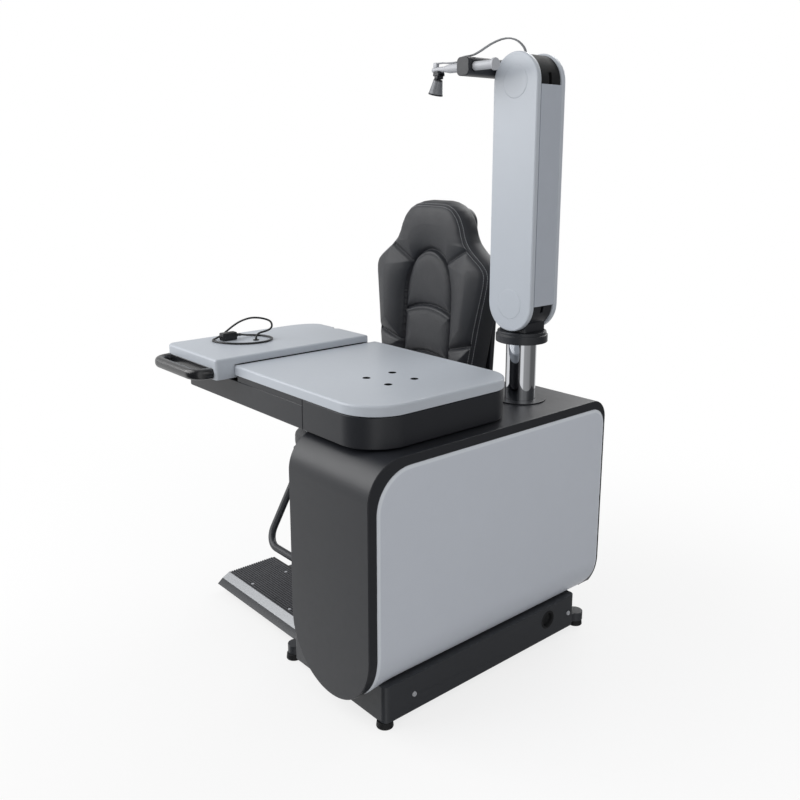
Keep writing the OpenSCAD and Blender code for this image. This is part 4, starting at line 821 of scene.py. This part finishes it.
# Height above the lower edge, and half width, as shares: hips, shoulders, neck and crown.
BACK_OUTLINE = np.array([
    [0, 0.60], [0.006, 0.69], [0.02, 0.755], [0.05, 0.79], [0.12, 0.805], [0.27, 0.835],
    [0.44, 0.90], [0.57, 0.965], [0.64, 0.995], [0.68, 1.0], [0.71, 0.975], [0.735, 0.92],
    [0.762, 0.83], [0.787, 0.74], [0.821, 0.645], [0.855, 0.595], [0.89, 0.565], [0.93, 0.51],
    [0.96, 0.44], [0.98, 0.36], [0.994, 0.25], [1.0, 0.14]])
# The insert: half its width, the height where its arch starts, and its top; then its cross seams.
INSERT_HALF, INSERT_ARCH, INSERT_TOP = 122, 480, 655
CROSS_SEAMS = (92, 262, 430)
# How far from the outline the seam near the edge runs, and how wide the edge's rounding is.
EDGE_SEAM, EDGE_ROUND = 17, 40


def back_frame_to_model(x, y, z):
    """Places on the leaning back, in mm from its pivot, in the model's frame."""
    c, s = math.cos(BACK_LEAN), math.sin(BACK_LEAN)
    return drawing(x + BACK_PIVOT[0], y * c + z * s + BACK_PIVOT[1], z * c - y * s + BACK_PIVOT[2])


def half_width(z):
    """Half the width of the back at height z: the outline's shares, rounded by a running mean that
    fades out towards the lower edge and the crown."""
    fine = np.linspace(0, 1, 1521)
    raw = np.interp(fine, BACK_OUTLINE[:, 0], BACK_OUTLINE[:, 1])
    window = np.hanning(61)
    padded = np.concatenate([np.full(30, raw[0]), raw, np.full(30, raw[-1])])
    soft = np.convolve(padded, window / window.sum(), "valid")
    inner = np.clip(np.minimum(fine, 1 - fine) / 0.05, 0, 1)
    soft = raw * (1 - inner) + soft * inner
    return BACK_HALF * np.interp((z - BACK_LOW) / (BACK_HIGH - BACK_LOW), fine, soft)


def crease(distance, depth, width):
    """A sewn crease: deepest on the seam, and fading as exp(-distance / width)."""
    return -depth * np.exp(-np.abs(distance) / width)


def edge_distance(x, z):
    """Distance in mm from a place on the back to its outline: the level distance to the side, less
    by the side's slope, and those to the crown and the lower edge, joined by a soft minimum."""
    slope = (half_width(z + 2) - half_width(z - 2)) / 4
    side = np.maximum(half_width(z) - np.abs(x), 1e-4) / np.sqrt(1 + slope ** 2)
    crown, low = np.maximum(BACK_HIGH - z, 1e-4), np.maximum(z - BACK_LOW, 1e-4)
    return (side ** -4.0 + crown ** -4.0 + low ** -4.0) ** -0.25


def back_seams(x, z):
    """Distances in mm to the insert's seam, the cross seams in it and the two seams beside it."""
    side = np.abs(x)
    arch_high = INSERT_TOP - INSERT_ARCH
    rise = np.maximum(z - INSERT_ARCH, 0) / arch_high
    ring = (side / INSERT_HALF) ** 2 + rise ** 2
    lean = 2 * np.sqrt((side / INSERT_HALF ** 2) ** 2 + (rise / arch_high) ** 2) + 1e-4
    border = (ring - 1) / lean
    inside = border < 0
    arch = 29 * (1 - (x / INSERT_HALF) ** 2)
    rows = np.stack([z - level - arch for level in CROSS_SEAMS])
    cross = np.take_along_axis(rows, np.abs(rows).argmin(0)[None], 0)[0]
    stop = 80 * (1 - soft_step(edge_distance(x, z), EDGE_SEAM - 3, EDGE_SEAM + 5))
    shoulder = (z - 619 - 0.55 * (side - 103)) * 0.876
    waist = (z - 318 - 0.26 * (side - INSERT_HALF)) * 0.968
    return border, inside, cross, shoulder + np.sign(shoulder) * stop, waist + np.sign(waist) * stop


def lip(distance, height, width):
    """A rolled lip on the lower side of a seam: a bell 1.5 times its own width below it."""
    return height * np.exp(-((distance + 1.5 * width) / width) ** 2)


def back_depth(x, z):
    """How far the back stands before its rear plane, in mm: a slab with rounded edges, plus panels
    that puff up from their seams as 1 - exp(-distance / reach), with a reach of 17 mm in the insert
    and 26 mm beside it, and a lip below each cross seam."""
    border, inside, cross, shoulder, waist = back_seams(x, z)
    edge = edge_distance(x, z)
    rounding = (1 - (1 - np.clip(edge / EDGE_ROUND, 0, 1)) ** 2.6) ** (1 / 2.6)
    seam = np.abs(border)
    seam_in = np.minimum(seam, np.abs(cross))
    gap = np.maximum(edge - EDGE_SEAM, 0) + 8
    seam_out = np.minimum(np.minimum(seam, np.abs(shoulder)), np.minimum(np.abs(waist), gap))
    wing = np.exp(-((np.abs(x) - 190) / 62) ** 2) * np.exp(-((z - 430) / 215) ** 4)
    crown = soft_step(z, 560, 640)
    puff_in = 13 * (1 - np.exp(-seam_in / 17)) - 14 - 5 * np.exp(-((z - 470) / 200) ** 2)
    puff_out = (14 + 15 * wing) * (1 - np.exp(-seam_out / 26)) - 2 + 3 * wing
    groove_in = (crease(seam, 9, 4.5) + crease(cross, 9, 3.2) + lip(cross, 4.5, 7)
                 + 4 * crown * np.exp(-((seam - 10) / 8) ** 2))
    groove_out = (crease(seam, 8, 7) - 13 * crown * np.exp(-seam / 26)
                  + crease(shoulder, 4.5, 3) + lip(shoulder, 2.5, 7)
                  + crease(waist, 4.5, 3) + lip(waist, 2.2, 7))
    groove = np.where(inside, groove_in, groove_out) + crease(edge - EDGE_SEAM, 2.4, 2.0)
    gathers = (0.7 * np.sin(x / 4.1 + 2 * np.sin(z / 31))
               * np.exp(-np.minimum(np.abs(cross), 40) / 9) * inside
               + 0.6 * np.sin(z / 4.6 + 2.3 * np.sin(x / 27)) * np.exp(-seam / 11))
    drape = 1.4 * np.sin(x / 47 + z / 83) * np.sin(z / 59 - x / 91)
    relief = np.where(inside, puff_in, puff_out) + groove + gathers + drape
    return rounding * (BACK_THICK + relief * soft_step(edge, 1, 24))


def back_surface(x, z):
    """Points on the front of the back, in the model's frame."""
    return back_frame_to_model(x, BACK_REAR - back_depth(x, z), z)


def make_back():
    """The upholstered back: level rings, each a front row from edge to edge and a flat row behind,
    with rows close together near the lower edge and the crown."""
    across = np.linspace(-1, 1, 381)
    share = np.sign(across) * (1 - (1 - np.abs(across)) ** 1.8)
    close = 52
    near = np.linspace(0, 1, 34)[:-1] ** 2.2 * close
    z = np.concatenate([BACK_LOW + 0.05 + near,
                        np.linspace(BACK_LOW + close, BACK_HIGH - close, 262),
                        (BACK_HIGH - 0.05 - near)[::-1]])[:, None]
    front = back_surface(share * half_width(z), z)
    behind = back_frame_to_model(np.linspace(1, -1, 24)[1:-1] * half_width(z), BACK_REAR, z)
    back = ring_piece("back_pad", np.concatenate([front, behind], 1), "leather",
                      "back_cushion", "back_cushion")
    for row, inset in enumerate((EDGE_SEAM - 4.2, EDGE_SEAM + 4.2)):
        stitches("edge_stitches_%d" % row, back_surface(*inset_line(inset)), "back_cushion")


def inset_line(inset):
    """The line at a distance inset inside the outline, from low on one side over the crown to the
    other: on each level the place where edge_distance() reaches inset, found by interpolation."""
    z = np.concatenate([np.linspace(BACK_LOW + 30, BACK_HIGH - 90, 500),
                        np.linspace(BACK_HIGH - 89, BACK_HIGH - inset - 0.4, 260)])
    shares = np.linspace(0, 1, 500)
    x = shares[None, :] * half_width(z)[:, None]
    edge = edge_distance(x, z[:, None])
    over = np.clip((edge >= inset).sum(1) - 1, 0, len(shares) - 2)
    rows = np.arange(len(z))
    a, b = edge[rows, over], edge[rows, over + 1]
    part = np.clip((a - inset) / (a - b + 1e-9), 0, 1)
    side = x[rows, over] + (x[rows, over + 1] - x[rows, over]) * part
    keep = (edge[:, 0] > inset + 0.05) & (side > 1)
    side, z = side[keep], z[keep]
    return np.concatenate([-side, side[::-1]]), np.concatenate([z, z[::-1]])


# -------- the padded seat


# The middle of the cushion, its underside, the height of its side band and of the whole, half its
# width and depth, the power of its plan, and the mm that a share of 1 stands for at its rim.
SEAT_MIDDLE, SEAT_LOW, SEAT_BAND, SEAT_THICK = (-655, 500), 485, 40, 84
SEAT_HALF_X, SEAT_HALF_Y, SEAT_POWER, SEAT_REACH = 260, 200, 0.36, 200


def seat_relief(x, y):
    """Height of the seat's top over its even crown, in mm: an insert with cross seams between two
    bolsters, puffed as 1 - exp(-distance / reach), with a reach of 20 mm inside and 24 outside."""
    side = np.abs(x)
    border = side - 128 - 10 * np.cos((y + 40) / 90)
    inside = border < 0
    arch = 18 * (1 - (x / 130) ** 2)
    cross = np.min(np.abs(np.stack([y - level - arch for level in (-118.0, 2.0, 122.0)])), 0)
    across = np.abs(y + 96 + 0.2 * (side - 128)) * 0.98
    seam = np.abs(border)
    puff_in = 11 * (1 - np.exp(-np.minimum(seam, cross) / 20)) - 9
    puff_out = 15 * (1 - np.exp(-np.minimum(seam, across) / 24)) - 4
    groove = np.where(inside, crease(seam, 7, 5) + crease(cross, 6, 3.5),
                      crease(seam, 7, 6) + crease(across, 4, 3.5))
    gathers = (0.6 * np.sin(x / 4.3 + 2 * np.sin(y / 29))
               * np.exp(-np.minimum(cross, 40) / 9) * inside
               + 0.5 * np.sin(y / 4.7 + 2.1 * np.sin(x / 23)) * np.exp(-seam / 11))
    return np.where(inside, puff_in, puff_out) + groove + gathers


def seat_surface(turn, share):
    """The seat's top at a turn round its rim and a share of the way from its middle to its rim."""
    px, py = squircle(turn, SEAT_POWER)
    x, y = SEAT_HALF_X * share * px, SEAT_HALF_Y * share * py
    rounding = (1 - np.clip(share, 0, 1) ** 7) ** (1 / 2.6)
    reach = (1 - share) * SEAT_REACH
    fall = 10 * np.clip((-y - 110) / 90, 0, 1) ** 2
    z = (SEAT_LOW + SEAT_BAND + (SEAT_THICK - SEAT_BAND) * rounding
         + (seat_relief(x, y) - fall) * soft_step(reach, 3, 29) + crease(reach - 24, 2.4, 2.0))
    return x, y, z


def seat_places(x, y, z):
    """Seat places in mm, counted from the middle of the cushion, in the model's frame."""
    return drawing(x + SEAT_MIDDLE[0], y + SEAT_MIDDLE[1], z)


def make_seat():
    """The seat cushion: rings from the middle of its underside out, up its side band, which bulges
    by a sine of the height, and in over the crown."""
    turn = full_turn(540)
    px, py = squircle(turn, SEAT_POWER)
    under_share = np.array([0.02, 0.3, 0.6, 0.85, 0.93, 0.955, 0.97])
    band = np.linspace(0.02, 1, 22)
    bulge = 0.972 + 0.028 * np.sin(math.pi * (0.12 + 0.5 * band))
    shares = np.concatenate([under_share, bulge])
    heights = np.concatenate([np.full(len(under_share), SEAT_LOW), SEAT_LOW + SEAT_BAND * band])
    sides = np.stack([SEAT_HALF_X * np.outer(shares, px), SEAT_HALF_Y * np.outer(shares, py),
                      np.outer(heights, np.ones(len(turn)))], -1)
    share = np.concatenate([1 - np.geomspace(0.0004, 0.03, 14), np.linspace(0.962, 0.004, 90)])
    top = np.stack(seat_surface(turn[None, :], share[:, None]), -1)
    points = seat_places(*np.moveaxis(np.concatenate([sides, top]), -1, 0))
    seat = ring_piece("seat_pad", points, "leather", "seat_cushion", "seat_cushion")
    round_turn = np.linspace(0, 2 * math.pi, 1441)
    for row, inset in enumerate((20, 28)):
        path = seat_places(*seat_surface(round_turn, 1 - inset / SEAT_REACH))
        stitches("seat_stitches_%d" % row, path, "seat_cushion")


set_camera()
make_lead()
for node, *look in ROUNDED:
    rounded_node(node, *look, share=EDGE_SHARES.get(node))
make_panel("side_panel_outer", 1)
make_panel("side_panel_inner", -1)
make_raised_top()
make_handle()
make_lamp_mount()
make_trim()
make_back()
make_seat()
set_light()
set_floor()
